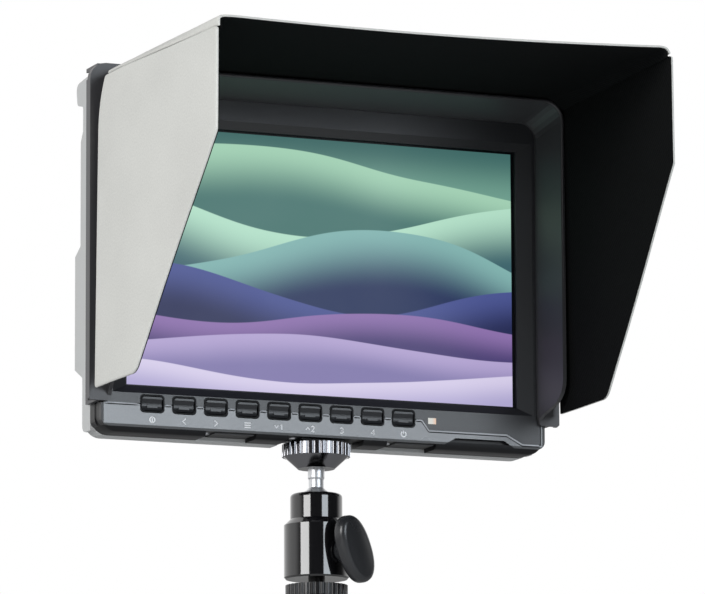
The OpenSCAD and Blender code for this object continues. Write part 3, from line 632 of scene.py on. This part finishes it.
@dataclass
class Edges:
    """Steps that crowd towards the edges of a sheet, so that its thickness can round off there."""

    inset: tuple[float, ...] = (0.0, 0.08, 0.2, 0.4, 0.7, 1.2)

    def both(self, low: np.ndarray, high: np.ndarray, count: int) -> np.ndarray:
        """Values from low to high, crowded at both ends: the insets, count even steps between, the insets again.

        Args:
            low: lower limit of each column.
            high: upper limit of each column.
            count: even steps in the middle.

        Returns:
            One row per step and one column per limit.
        """
        near = np.array(self.inset)[:, None]
        middle = np.linspace(0, 1, count)[1:-1, None]
        first, last = low + near[-1], high - near[-1]
        return np.concatenate([low + near, first + (last - first) * middle, high - near[::-1]])

    def front(self, length: float, count: int, extra: np.ndarray) -> np.ndarray:
        """Values from 0 to length, crowded at the far end, with some places of their own."""
        even = np.linspace(0, length - self.inset[-1], count)
        inside = extra[(extra > 0) & (extra < length)]
        return np.unique(np.concatenate([even, inside, length - np.array(self.inset)]).round(4))


@dataclass
class HoodCloth:
    """The hood's laminate: coated fabric outside, felt inside, running from the frame's flange to the front."""

    back_y: float = -11.75
    front_y: float = -118.8
    side_hinge_y: float = -31.7
    top_hinge_y: float = -29.9
    hinge_x: float = 87.7
    crease_z: float = 185.2
    crease_fall: tuple[float, float] = (2.0, -1.3)
    top_z: float = 188.8
    low_z: tuple[float, float] = (73.6, 73.9)
    corner_z: tuple[float, float] = (147.6, 148.4)
    low_run: tuple[float, float] = (20.6, 24.0)
    chamfer_x: float = 81.2
    front_x: tuple[float, float] = (83.9, 83.7)
    splay: float = 1.0
    toe_in: tuple[float, float] = (2.3, 1.55)
    droop: float = 1.3
    thick: float = 1.3
    felt: float = 0.4
    side_span: float = 87.1
    rear_run: float = 18.0
    bow: tuple[float, float, float] = (1.6, 1.15, -0.9)
    bend: float = 6.0
    gap: float = 2.85
    round_z: float = 165.0
    round_x: float = 72.0
    round_off: float = 6.2
    round_power: float = 2.4
    edge_radius: float = 1.2
    edge_share: float = 0.35
    half_flat: float = 83.0
    area: tuple[float, float] = (0.0095, 0.0188)
    edges: Edges = field(default_factory=Edges)

    def of(self, pair: tuple[float, float], sign: int) -> float:
        """One side's value: the first of the pair on the left, the second on the right."""
        return pair[(sign + 1) // 2]

    def rear_side(self, z: np.ndarray) -> np.ndarray:
        """How far a side panel's rear edge stands off the flange: a little more downwards, and a curve at its top."""
        climb = np.clip((z - self.round_z) / (self.crease_z - self.round_z), 0, 1)
        fall = np.clip((self.round_z - z) / 92, 0, 1)
        return self.gap + 1.4 * fall + self.round_off * climb ** self.round_power

    def rear_top(self, x: np.ndarray) -> np.ndarray:
        """How far the top panel's rear edge stands off the flange: 3 mm, curving away at its corners."""
        climb = np.clip((np.abs(x) - self.round_x) / (self.hinge_x - self.round_x), 0, 1)
        return self.gap + 0.15 + (self.round_off - 0.15) * climb ** self.round_power

    def bent(self, past: np.ndarray) -> np.ndarray:
        """A soft bend: 0 well before the hinge and the distance past it well after, by (sqrt(d^2 + w^2) + d) / 2."""
        return (np.sqrt(past * past + self.bend ** 2) + past) / 2

    def side_x(self, y: np.ndarray, z: np.ndarray, sign: int) -> np.ndarray:
        """Inner face of a side panel, which leans out downwards and closes in past the hinge."""
        lean = (self.crease_z - z) * math.tan(math.radians(self.splay))
        closing = math.tan(math.radians(self.of(self.toe_in, sign)))
        return self.hinge_x + lean - closing * self.bent(self.side_hinge_y - y)

    def crease(self, y: np.ndarray, sign: int) -> np.ndarray:
        """Height of a side panel's top edge, which falls towards the front on the left and climbs on the right."""
        return self.crease_z - self.of(self.crease_fall, sign) * np.clip((self.side_hinge_y - y) / self.side_span, 0, 1)

    def depth(self, away: np.ndarray) -> np.ndarray:
        """Share of the thickness at a distance from the edge: a quarter circle, sqrt(1 - (1 - d / r)^2), on a base."""
        circle = np.sqrt(np.clip(1 - (1 - np.clip(away / self.edge_radius, 0, 1)) ** 2, 0, 1))
        return self.edge_share + (1 - self.edge_share) * circle

    def side_grid(self, sign: int, inset: float) -> tuple[np.ndarray, np.ndarray, np.ndarray]:
        """The grid of a side panel in its own plane.

        Args:
            sign: 1 for the right-hand panel, -1 for the left.
            inset: how far the sheet stops short of the panel's outline.

        Returns:
            Distance forward of the flange, height, and distance from the nearest free edge.
        """
        reach = self.back_y - self.front_y
        hinge = self.back_y - self.side_hinge_y
        low_z, corner_z, run = (self.of(pair, sign) for pair in (self.low_z, self.corner_z, self.low_run))
        lower = rounded([(0, low_z, 0), (hinge + run, low_z, 7), (reach + 0.3, corner_z, 4), (reach, 183.2, 1)])
        lower = lower[: len(lower) - 1]
        forward = self.edges.front(reach, 54, lower[:, 0])
        low = np.interp(forward, lower[:, 0], lower[:, 1])
        tip = np.clip((forward - (reach - 2)) / 2, 0, 1)
        high = self.crease(self.back_y - forward, sign) - 1.2 * (1 - np.sqrt(np.clip(1 - tip * tip, 0, 1)))
        s, z = np.broadcast_arrays(forward[None], self.edges.both(low + inset, high - 0.04, 44))
        s = np.minimum(s, reach - inset)
        away = np.minimum(np.minimum(z - low, high - z), reach - s)
        s = s + self.rear_side(z) * np.clip(1 - s / self.rear_run, 0, 1)
        return s, z.copy(), away

    def side(self, name: str, sign: int, inner: float, outer: float, inset: float) -> bpy.types.Object:
        """One layer of a side panel: x = side_x + offset, y = back - s, over the panel's outline.

        Args:
            name: the piece's name.
            sign: 1 for the right-hand panel, -1 for the left.
            inner: the layer's inner offset from the panel's inner face.
            outer: its outer offset, away from the edges.
            inset: how far it stops short of the outline.

        Returns:
            The piece.
        """
        s, z, away = self.side_grid(sign, inset)
        y = self.back_y - s
        face = self.side_x(y, z, sign) + self.puff(s, z)
        full = inner + (outer - inner) * self.depth(away)
        offsets = (full, np.full_like(full, inner))
        layers = [np.stack([sign * (face + offset), y, z], -1).reshape(-1, 3) for offset in offsets]
        uv = np.stack([s, z], -1).reshape(-1, 2) * MM
        return make_piece(name, np.concatenate(layers), shell_faces(*s.shape), np.concatenate([uv, uv]))

    def puff(self, s: np.ndarray, z: np.ndarray) -> np.ndarray:
        """A slight waviness of the cloth, in millimetres, that dies out towards the frame."""
        share = np.clip(s / 60, 0, 1) ** 2
        return share * (0.16 * np.sin(z * 0.055 + s * 0.03) + 0.1 * np.sin(s * 0.09 - z * 0.04))

    def gusset(self, y: np.ndarray, sign: int, tuck: float) -> tuple[np.ndarray, np.ndarray]:
        """One gusset's inner face, straight from the side panel's top edge up to the flat top.

        Args:
            y: one value per section.
            sign: 1 for the right, -1 for the left.
            tuck: how far it reaches down inside the side panel.

        Returns:
            x, without its sign, and z, from the bottom up.
        """
        past = np.clip((self.top_hinge_y - y) / (self.top_hinge_y - self.front_y), 0, 1)
        edge_x = self.chamfer_x + (self.of(self.front_x, sign) - self.chamfer_x) * past
        flat_z = self.top_z - math.tan(math.radians(self.droop)) * self.bent(self.top_hinge_y - y)
        low_z = self.crease(y, sign) - tuck
        inside = 0.05 + 0.3 * np.clip((self.top_hinge_y - y) / 4, 0, 1) + 0.55 * max(tuck, 0)
        low_x = self.side_x(y, low_z, sign) - inside
        share = np.linspace(0, 1, 9)
        return low_x[:, None] + (edge_x - low_x)[:, None] * share, low_z[:, None] + (flat_z - low_z)[:, None] * share

    def top_section(self, y: np.ndarray, count: int, tuck: float) -> tuple[np.ndarray, np.ndarray, np.ndarray]:
        """Places across the top: up the right gusset, over the soft crease, across and down the left gusset.

        Args:
            y: one value per section.
            count: points across the flat top.
            tuck: how far the gussets reach down inside the side panels.

        Returns:
            x and z of each section's inner face, and the run along it.
        """
        past = np.clip((self.top_hinge_y - y) / (self.top_hinge_y - self.front_y), 0, 1)
        right_x, right_z = self.gusset(y, 1, tuck)
        left_x, left_z = self.gusset(y, -1, tuck)
        share = np.linspace(0, 1, count)[1:-1]
        flat_x = right_x[:, -1:] - (right_x[:, -1:] + left_x[:, -1:]) * share
        level = np.broadcast_to(right_z[:, -1:], flat_x.shape)
        x = np.concatenate([right_x, flat_x, -left_x[:, ::-1]], 1)
        z = np.concatenate([right_z, level, left_z[:, ::-1]], 1)
        for _ in range(3):
            x[:, 1:-1] = (x[:, :-2] + 2 * x[:, 1:-1] + x[:, 2:]) / 4
            z[:, 1:-1] = (z[:, :-2] + 2 * z[:, 1:-1] + z[:, 2:]) / 4
        run = np.concatenate([np.zeros((len(y), 1)), np.cumsum(np.hypot(np.diff(x, axis=1), np.diff(z, axis=1)), 1)], 1)
        foot = np.linspace(0, 1, right_x.shape[1])
        free = np.concatenate([foot, np.ones(flat_x.shape[1]), foot[::-1]])
        return x, z + free * self.sag(x, past[:, None]), run

    def sag(self, x: np.ndarray, past: np.ndarray) -> np.ndarray:
        """The front edge bows by a x^2 + b x + c, growing with the square of the way forward."""
        share = np.clip(x / self.half_flat, -1.05, 1.05)
        curve, tilt, middle = self.bow
        return past ** 2 * (curve * share ** 2 + tilt * share + middle)

    def top(self, name: str, inner: float, outer: float, inset: float, tuck: float) -> bpy.types.Object:
        """One layer of the top panel with its gussets: the section carried forward, thickened along its own normal.

        Args:
            name: the piece's name.
            inner: the layer's inner offset.
            outer: its outer offset, away from the edges.
            inset: how far it stops short of the outline.
            tuck: how far its gussets reach down inside the side panels.

        Returns:
            The piece.
        """
        reach = self.back_y - self.front_y
        forward = self.edges.front(reach, 54, np.array([]))
        forward = np.minimum(forward, reach - inset)
        x, z, run = self.top_section(self.back_y - forward, 46, tuck)
        dx, dz = np.gradient(x, axis=1), np.gradient(z, axis=1)
        size = np.hypot(dx, dz)
        normal = np.stack([dz / size, np.zeros_like(x), -dx / size], -1)
        away = np.minimum(np.minimum(run, run[:, -1:] - run), (reach - forward)[:, None])
        full = inner + (outer - inner) * self.depth(away)
        y = (self.back_y - forward)[:, None] - self.rear_top(x) * np.clip(1 - forward / self.rear_run, 0, 1)[:, None]
        face = np.stack([x, y, z], -1)
        layers = [(face + normal * offset[..., None]).reshape(-1, 3) for offset in (full, np.full_like(full, inner))]
        uv = np.stack([run, np.broadcast_to(forward[:, None], x.shape)], -1).reshape(-1, 2) * MM
        return make_piece(name, np.concatenate(layers), shell_faces(*x.shape), np.concatenate([uv, uv]))

    def build(self) -> None:
        """Makes the three panels in two layers each, shaped with a soft bend at the hinges."""
        skin, felt = (self.felt + 0.02, self.thick, 0.0), (0.0, self.felt, 0.12)
        layers = (("fabric", "flap", FABRIC, skin, -0.12), ("felt", "lining", FELT, felt, 0.8))
        for side, sign in (("left", -1), ("right", 1)):
            for kind, node, finish, depth, _ in layers:
                piece = self.side(f"{side}_panel_{kind}", sign, *depth)
                dress(piece, finish)
                self.declare(piece)
                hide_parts(f"hood_{side}_{node}")
        for kind, node, finish, depth, tuck in layers:
            piece = self.top(f"top_panel_{kind}", *depth, tuck)
            dress(piece, finish)
            self.declare(piece)
            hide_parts(f"hood_top_{node}", *(["hood_band"] if kind == "fabric" else []))

    def declare(
        self, piece: bpy.types.Object
    ) -> None:
        """Args:
            piece: the layer.
        """
        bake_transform(piece)
        LOG.info("made %s", piece.name)


# ---------------------------------------------------------------- small trim


@dataclass
class HoodTrim:
    """The rounded front edge of the hood frame's wings."""

    front_y: float = -26.0
    set_back: float = 0.15
    inner_x: float = 83.0
    inner_z: float = 181.9
    corner: float = 5.8
    wall: float = 1.4
    flare_x: float = 1.0386
    flare_z: float = 1.083
    center_z: float = 124.0

    def build(self) -> None:
        """A bead carried along the middle of the wings' front edge."""
        half = self.wall / 2
        x, z = self.inner_x + half, self.inner_z - self.center_z + half
        right = rounded([(x, -30, 0), (x, z, self.corner + half), (0, z, 0)], 12)
        left = right[::-1][1:] * np.array([-1, 1])
        line = np.concatenate([right, left])
        y = np.full(len(line), self.front_y + self.set_back)
        path = np.stack([line[:, 0] * self.flare_x, y, self.center_z + line[:, 1] * self.flare_z], -1)
        piece = make_piece("wing_edge_bead", *tube(path, half * 1.02, 12))
        mount(piece, HOOD_PLASTIC, "hood_frame")


@dataclass
class KeyMarks:
    """White marks printed under the keys, and a painted highlight on the lower lip of the parting line between them."""

    first_x: float = -66.85
    pitch: float = 12.12
    mark_z: float = 64.25
    face_y: float = -9.8
    width: float = 0.42
    lip_z: float = 69.66
    pocket: float = 4.75
    groove: tuple[tuple[float, float, float], ...] = (
        (-85.4, 69.66, 0), (37.3, 69.66, 0.8), (40.0, 66.0, 0.8), (70.9, 66.0, 0.8), (77.1, 62.8, 0.8), (84.3, 62.8, 0))

    def arc(self, radius: float, start: float, end: float, x: float = 0.0, z: float = 0.0) -> np.ndarray:
        """Points of an arc about (x, z), angles in degrees from +X."""
        turn = np.radians(np.linspace(start, end, 25))
        return np.stack([x + radius * np.cos(turn), z + radius * np.sin(turn)], -1)

    def signs(self) -> list[list[np.ndarray]]:
        """The strokes of each key's sign, in millimetres about its middle."""
        def line(*points: tuple[float, float]) -> np.ndarray:
            """A stroke through points."""
            return np.array(points, float)

        down, up = [(-1.7, 0.5), (-1.0, -0.4), (-0.3, 0.5)], [(-1.7, -0.4), (-1.0, 0.5), (-0.3, -0.4)]
        two = np.concatenate([self.arc(0.5, 160, -30, 0.9, 0.45), line((0.5, -0.95), (1.5, -0.95))])
        three = np.concatenate([self.arc(0.5, 150, -90, 0, 0.45), self.arc(0.5, 90, -150, 0, -0.5)])
        return [
            [self.arc(0.95, 0, 360), line((0, -0.95), (0, 0.95))],
            [line((0.55, 1.05), (-0.55, 0), (0.55, -1.05))],
            [line((-0.55, 1.05), (0.55, 0), (-0.55, -1.05))],
            [line((-1.2, z), (1.2, z)) for z in (-0.8, 0.0, 0.8)],
            [line(*down), line((0.55, 0.55), (1.0, 0.95), (1.0, -0.95))],
            [line(*up), two],
            [three],
            [line((0.45, -0.95), (0.45, 0.95), (-0.6, -0.35), (0.85, -0.35))],
            [self.arc(0.95, 125, 415), line((0, 0.25), (0, 1.25))],
        ]

    def stroke(self, line: np.ndarray, y0: float, y1: float) -> tuple[np.ndarray, np.ndarray]:
        """A flat stroke: the line widened both ways along its own normal, between two depths.

        Args:
            line: (x, z) points.
            y0: its front.
            y1: its back.

        Returns:
            The points and quads of a closed thin plate.
        """
        ahead = np.gradient(line, axis=0)
        ahead /= np.linalg.norm(ahead, axis=1, keepdims=True)
        side = np.stack([-ahead[:, 1], ahead[:, 0]], -1) * self.width / 2
        rails = np.stack([line + side, line - side], 1)
        layers = [np.stack([rails[..., 0], np.full(rails.shape[:2], y), rails[..., 1]], -1) for y in (y0, y1)]
        return np.concatenate(layers).reshape(-1, 3), shell_faces(len(line), 2)

    def build(self) -> None:
        """Makes the nine marks as one printed piece, and the lip's painted highlight and shadow between the pockets."""
        made = []
        for index, strokes in enumerate(self.signs()):
            shift = np.array([self.first_x + index * self.pitch, self.mark_z])
            made += [self.stroke(line + shift, self.face_y - 0.03, self.face_y + 0.01) for line in strokes]
        mount(make_piece("key_marks", *merge(made)), INK, "monitor")
        self.lip()

    def lip(self) -> None:
        """A pale bead along the parting line, a painted highlight, with a black bead under it as painted shadow, both
        broken by the pockets.
        """
        centers = self.first_x + self.pitch * np.arange(9)
        last = np.concatenate([[[centers[-1] + self.pocket, self.lip_z]], rounded(list(self.groove), 4)[1:]])
        runs = [np.array([[a, self.lip_z], [b, self.lip_z]]) for a, b in zip(
            np.concatenate([[self.groove[0][0]], centers[:-1] + self.pocket]), centers - self.pocket)] + [last]
        for name, finish, radius, drop in (("parting_lip_highlight", LIP, 0.3, 0.0), ("parting_shadow", RIM, 0.17, 0.46)):
            made = []
            for line in runs:
                along = np.concatenate([[0], np.cumsum(np.hypot(*np.diff(line, axis=0).T))])
                even = np.linspace(0, along[-1], max(8, 3 * len(line)))
                even = np.unique(np.concatenate([even, along]))
                x, z = np.interp(even, along, line[:, 0]), np.interp(even, along, line[:, 1]) - drop
                made.append(tube(np.stack([x, np.full(len(x), self.face_y), z], -1), radius, 8))
            mount(make_piece(name, *merge(made)), finish, "monitor")


@dataclass
class LowerEdge:
    """The housing's lower edge: a notched black skirt and the rear cover's lip behind it."""

    side_x: float = 86.0
    side_z: float = 70.0
    corner: float = 6.0
    skirt_z: float = 59.5
    lip_z: float = 59.3
    wheel_x: float = 14.6
    notches: tuple[tuple[float, float], ...] = ((-46.3, -27.0), (23.8, 43.0))
    skirt: tuple[tuple[float, float], ...] = (
        (-9.62, 2.9), (-9.55, 1.8), (-9.3, 0.9), (-8.7, 0.25), (-8.0, 0.0), (-3.0, 0.0), (1.25, 0.0), (1.25, 2.9))
    lip: tuple[tuple[float, float], ...] = (
        (1.35, 2.9), (1.35, 0.35), (1.7, 0.0), (5.0, 0.0), (8.3, 0.0), (8.95, 0.4), (9.2, 1.2), (9.2, 2.9))

    def strip(self, corners: list[Point], section: tuple[tuple[float, float], ...]) -> tuple[np.ndarray, np.ndarray]:
        """Carries a section of (y, inset) points along a line in the front view, its inset square to the line.

        Args:
            corners: (x, z, radius) of the line's corners, from left to right.
            section: the closed section.

        Returns:
            The points and quads.
        """
        line = rounded(corners, 10)
        ahead = np.gradient(line, axis=0)
        ahead /= np.linalg.norm(ahead, axis=1, keepdims=True)
        y, inset = np.array(section).T
        x = line[:, :1] - ahead[:, 1:] * inset
        z = line[:, 1:] + ahead[:, :1] * inset
        points = np.stack([x, np.broadcast_to(y, x.shape), z], -1).reshape(-1, 3)
        return points, np.concatenate([grid_faces(len(line), len(y), wrap=True), *end_caps(len(line), len(y))])

    def runs(self, z: float, breaks: list[tuple[float, float]]) -> list[list[Point]]:
        """The lines left between the breaks, with both ends turned up the housing's sides."""
        runs, start = [], [(-self.side_x, self.side_z, 0.0), (-self.side_x, z, self.corner)]
        for low, high in breaks:
            runs.append([*start, (low, z, 0.0)])
            start = [(high, z, 0.0)]
        return [*runs, [*start, (self.side_x, z, self.corner), (self.side_x, self.side_z, 0.0)]]

    def build(self) -> None:
        """Makes the skirt and the lip."""
        wheel = (-self.wheel_x, self.wheel_x)
        for name, finish, slot, z, section, breaks in (
            ("lower_skirt", SKIRT, "bezel", self.skirt_z, self.skirt, [self.notches[0], wheel, self.notches[1]]),
            ("cover_lip", COVER, "cover", self.lip_z, self.lip, [wheel]),
        ):
            made = [self.strip(run, section) for run in self.runs(z, breaks)]
            mount(make_piece(name, *merge(made)), finish, "monitor")


@dataclass
class LockKnob:
    """The oval knob on the ball's lock screw: a pebble with a shallow crown, on a round hub."""

    turn: float = -66.0
    height: float = 20.7
    lean: float = 26.0
    half_length: float = 12.5
    half_width: float = 7.1
    back_x: float = 15.8
    front_x: float = 22.0
    hub_x: float = 12.0
    hub_r: float = 4.2
    crown: float = 0.5
    sides: int = 72

    def rings(self) -> np.ndarray:
        """Rows of the pebble, each (x, half width, half length): back face, back edge, front edge and crowned face."""
        turn = np.radians(np.linspace(0, 90, 9))
        back_inset, back_x = 2.2 * (1 - np.sin(turn)), self.back_x + 2.0 * (1 - np.cos(turn))
        front_inset = 2.3 * (1 - np.cos(turn))
        front_x = self.front_x - self.crown - 2.2 * (1 - np.sin(turn))
        inset = np.concatenate([back_inset, front_inset])
        edge = np.stack([np.concatenate([back_x, front_x]), self.half_width - inset, self.half_length - inset], -1)
        share = np.linspace(1, 0.01, 12)[1:]
        back = edge[0] * np.stack([np.ones(11), share, share], -1)
        front = edge[-1] * np.stack([np.ones(11), share, share], -1)
        front[:, 0] = self.front_x - self.crown * share ** 2
        return np.concatenate([back[::-1], edge, front])

    def oval(self, rings: np.ndarray, power: float) -> tuple[np.ndarray, np.ndarray]:
        """Carries rings round an oval |y|^p + |z|^p = 1 and closes both poles.

        Args:
            rings: (x, half width, half length) of each ring.
            power: 2 for an ellipse, more for a squarer oval.

        Returns:
            The points and quads.
        """
        turn = np.linspace(0, 2 * np.pi, self.sides, endpoint=False)
        y = np.sign(np.cos(turn)) * np.abs(np.cos(turn)) ** (2 / power)
        z = np.sign(np.sin(turn)) * np.abs(np.sin(turn)) ** (2 / power)
        x = np.broadcast_to(rings[:, :1], (len(rings), self.sides))
        points = np.stack([x, rings[:, 1:2] * y, rings[:, 2:] * z], -1)
        faces = np.concatenate([grid_faces(len(rings), self.sides, wrap=True), *end_caps(len(rings), self.sides)])
        return points.reshape(-1, 3), faces

    def build(self) -> None:
        """Makes the knob, leans it, turns it to its place and lets it stand for the plain solid."""
        pebble, pebble_faces = self.oval(self.rings(), 2.25)
        spin = Matrix.Rotation(math.radians(self.lean), 3, "X")
        pebble = pebble @ np.array(spin).T
        hub_x = np.array([self.hub_x, self.hub_x + 0.5, self.back_x + 1.2])
        hub_r = np.array([self.hub_r - 0.5, self.hub_r, self.hub_r])
        hub, hub_faces = self.oval(np.stack([hub_x, hub_r, hub_r], -1), 2.0)
        points, faces = merge([(pebble, pebble_faces), (hub, hub_faces)])
        points = points @ np.array(Matrix.Rotation(math.radians(self.turn), 3, "Z")).T
        points[:, 2] += self.height
        piece = make_piece("oval_knob", points, faces, angle=50)
        mount(piece, KNOB, "lock_knob")
        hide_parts("lock_knob")


# ---------------------------------------------------------------- studio


@dataclass
class Studio:
    """A pale floor, soft lamps and the camera at the photograph's angle."""

    place: Point = (-0.7892, -1.8898, -0.2375)
    yaw: float = 23.04
    pitch: float = 9.74
    roll: float = -0.28
    lens: float = 293.6
    floor_z: float = -0.32
    target: Point = (0.0, -0.03, 0.12)
    room: float = 0.05
    ambient: float = 0.25

    def camera(self) -> None:
        """Sets the camera up: its axes are worked out from the yaw, the pitch and the small roll."""
        a, b, c = (math.radians(v) for v in (self.yaw, self.pitch, self.roll))
        ahead = Vector((math.sin(a) * math.cos(b), math.cos(a) * math.cos(b), math.sin(b)))
        right = Vector((math.cos(a), -math.sin(a), 0))
        up = right.cross(ahead)
        right, up = right * math.cos(c) + up * math.sin(c), up * math.cos(c) - right * math.sin(c)
        data = bpy.data.cameras.new("camera")
        data.lens, data.sensor_width, data.sensor_fit = self.lens, 36.0, "HORIZONTAL"
        data.clip_start, data.clip_end = 0.05, 50
        camera = bpy.data.objects.new("camera", data)
        camera.matrix_world = Matrix.Translation(self.place) @ Matrix((right, up, -ahead)).transposed().to_4x4()
        bpy.context.scene.collection.objects.link(camera)
        bpy.context.scene.camera = camera

    def lamp(
        self, name: str, place: Point, size: tuple[float, float], watts: float, color: Color = (1.0, 1.0, 1.0)
    ) -> None:
        """A soft box that looks at the part.

        Args:
            name: the lamp's name.
            place: where it stands.
            size: its width and height in metres.
            watts: its power.
            color: its colour.
        """
        data = bpy.data.lights.new(name, "AREA")
        data.shape, data.size, data.size_y, data.energy = "RECTANGLE", size[0], size[1], watts
        data.color = color
        lamp = bpy.data.objects.new(name, data)
        lamp.location = place
        lamp.rotation_euler = (Vector(self.target) - Vector(place)).to_track_quat("-Z", "Y").to_euler()
        bpy.context.scene.collection.objects.link(lamp)

    def world(self) -> None:
        """A white backdrop past the object, a dim room in front of it in reflections, and an even light."""
        world = bpy.data.worlds.new("studio")
        world.use_nodes = True
        graph = Graph(world.node_tree)
        rays = graph.node("ShaderNodeLightPath").outputs
        seen = graph.math("MAXIMUM", rays["Is Camera Ray"], rays["Is Transmission Ray"])
        way = graph.node("ShaderNodeTexCoord").outputs["Generated"]
        ahead = graph.node("ShaderNodeSeparateXYZ", vector=way).outputs[1]
        mirrored = graph.math("MULTIPLY", rays["Is Glossy Ray"], graph.span(ahead, -0.25, 0.3, self.room, 1.0))
        plain = graph.math("MULTIPLY", graph.math("SUBTRACT", 1.0, rays["Is Glossy Ray"]), self.ambient)
        level = graph.math("MAXIMUM", seen, graph.math("ADD", mirrored, plain))
        background = world.node_tree.nodes["Background"]
        background.inputs["Color"].default_value = (1, 1, 1, 1)
        graph.feed(background.inputs["Strength"], level)
        bpy.context.scene.world = world

    def floor(self) -> None:
        """A large pale floor under the part."""
        points = np.array([[-4, -4, 0], [4, -4, 0], [4, 4, 0], [-4, 4, 0]], float) + np.array([0, 0, self.floor_z])
        mesh = bpy.data.meshes.new("floor")
        mesh.from_pydata(points.tolist(), [], [(0, 1, 2, 3)])
        floor = bpy.data.objects.new("floor", mesh)
        bpy.context.scene.collection.objects.link(floor)
        paper = Finish("floor_paper", (0.8, 0.8, 0.8), roughness=0.9, scale=300, vary=0.02, depth=0.0001)
        floor.data.materials.append(paper.material())

    def build(self) -> None:
        """Sets up the camera, the world, the floor and the lamps."""
        self.camera()
        self.world()
        self.floor()
        self.lamp("left_box", (-1.5, -0.72, 0.48), (0.95, 0.65), 17)
        self.lamp("front_box", (0.42, -1.46, 0.4), (0.75, 0.5), 8, (0.86, 0.93, 1.0))
        self.lamp("top_box", (0.0, 0.3, 1.5), (1.0, 0.8), 0.8)
        bpy.context.scene.view_settings.view_transform = "Standard"


def main() -> None:
    """Builds the studio, dresses the part and adds its pieces."""
    logging.basicConfig(level=logging.INFO, format="%(name)s: %(message)s")
    Studio().build()
    dress_nodes()
    HoodCloth().build()
    HoodTrim().build()
    LowerEdge().build()
    LockKnob().build()
    KeyMarks().build()


if __name__ == "__main__":
    main()
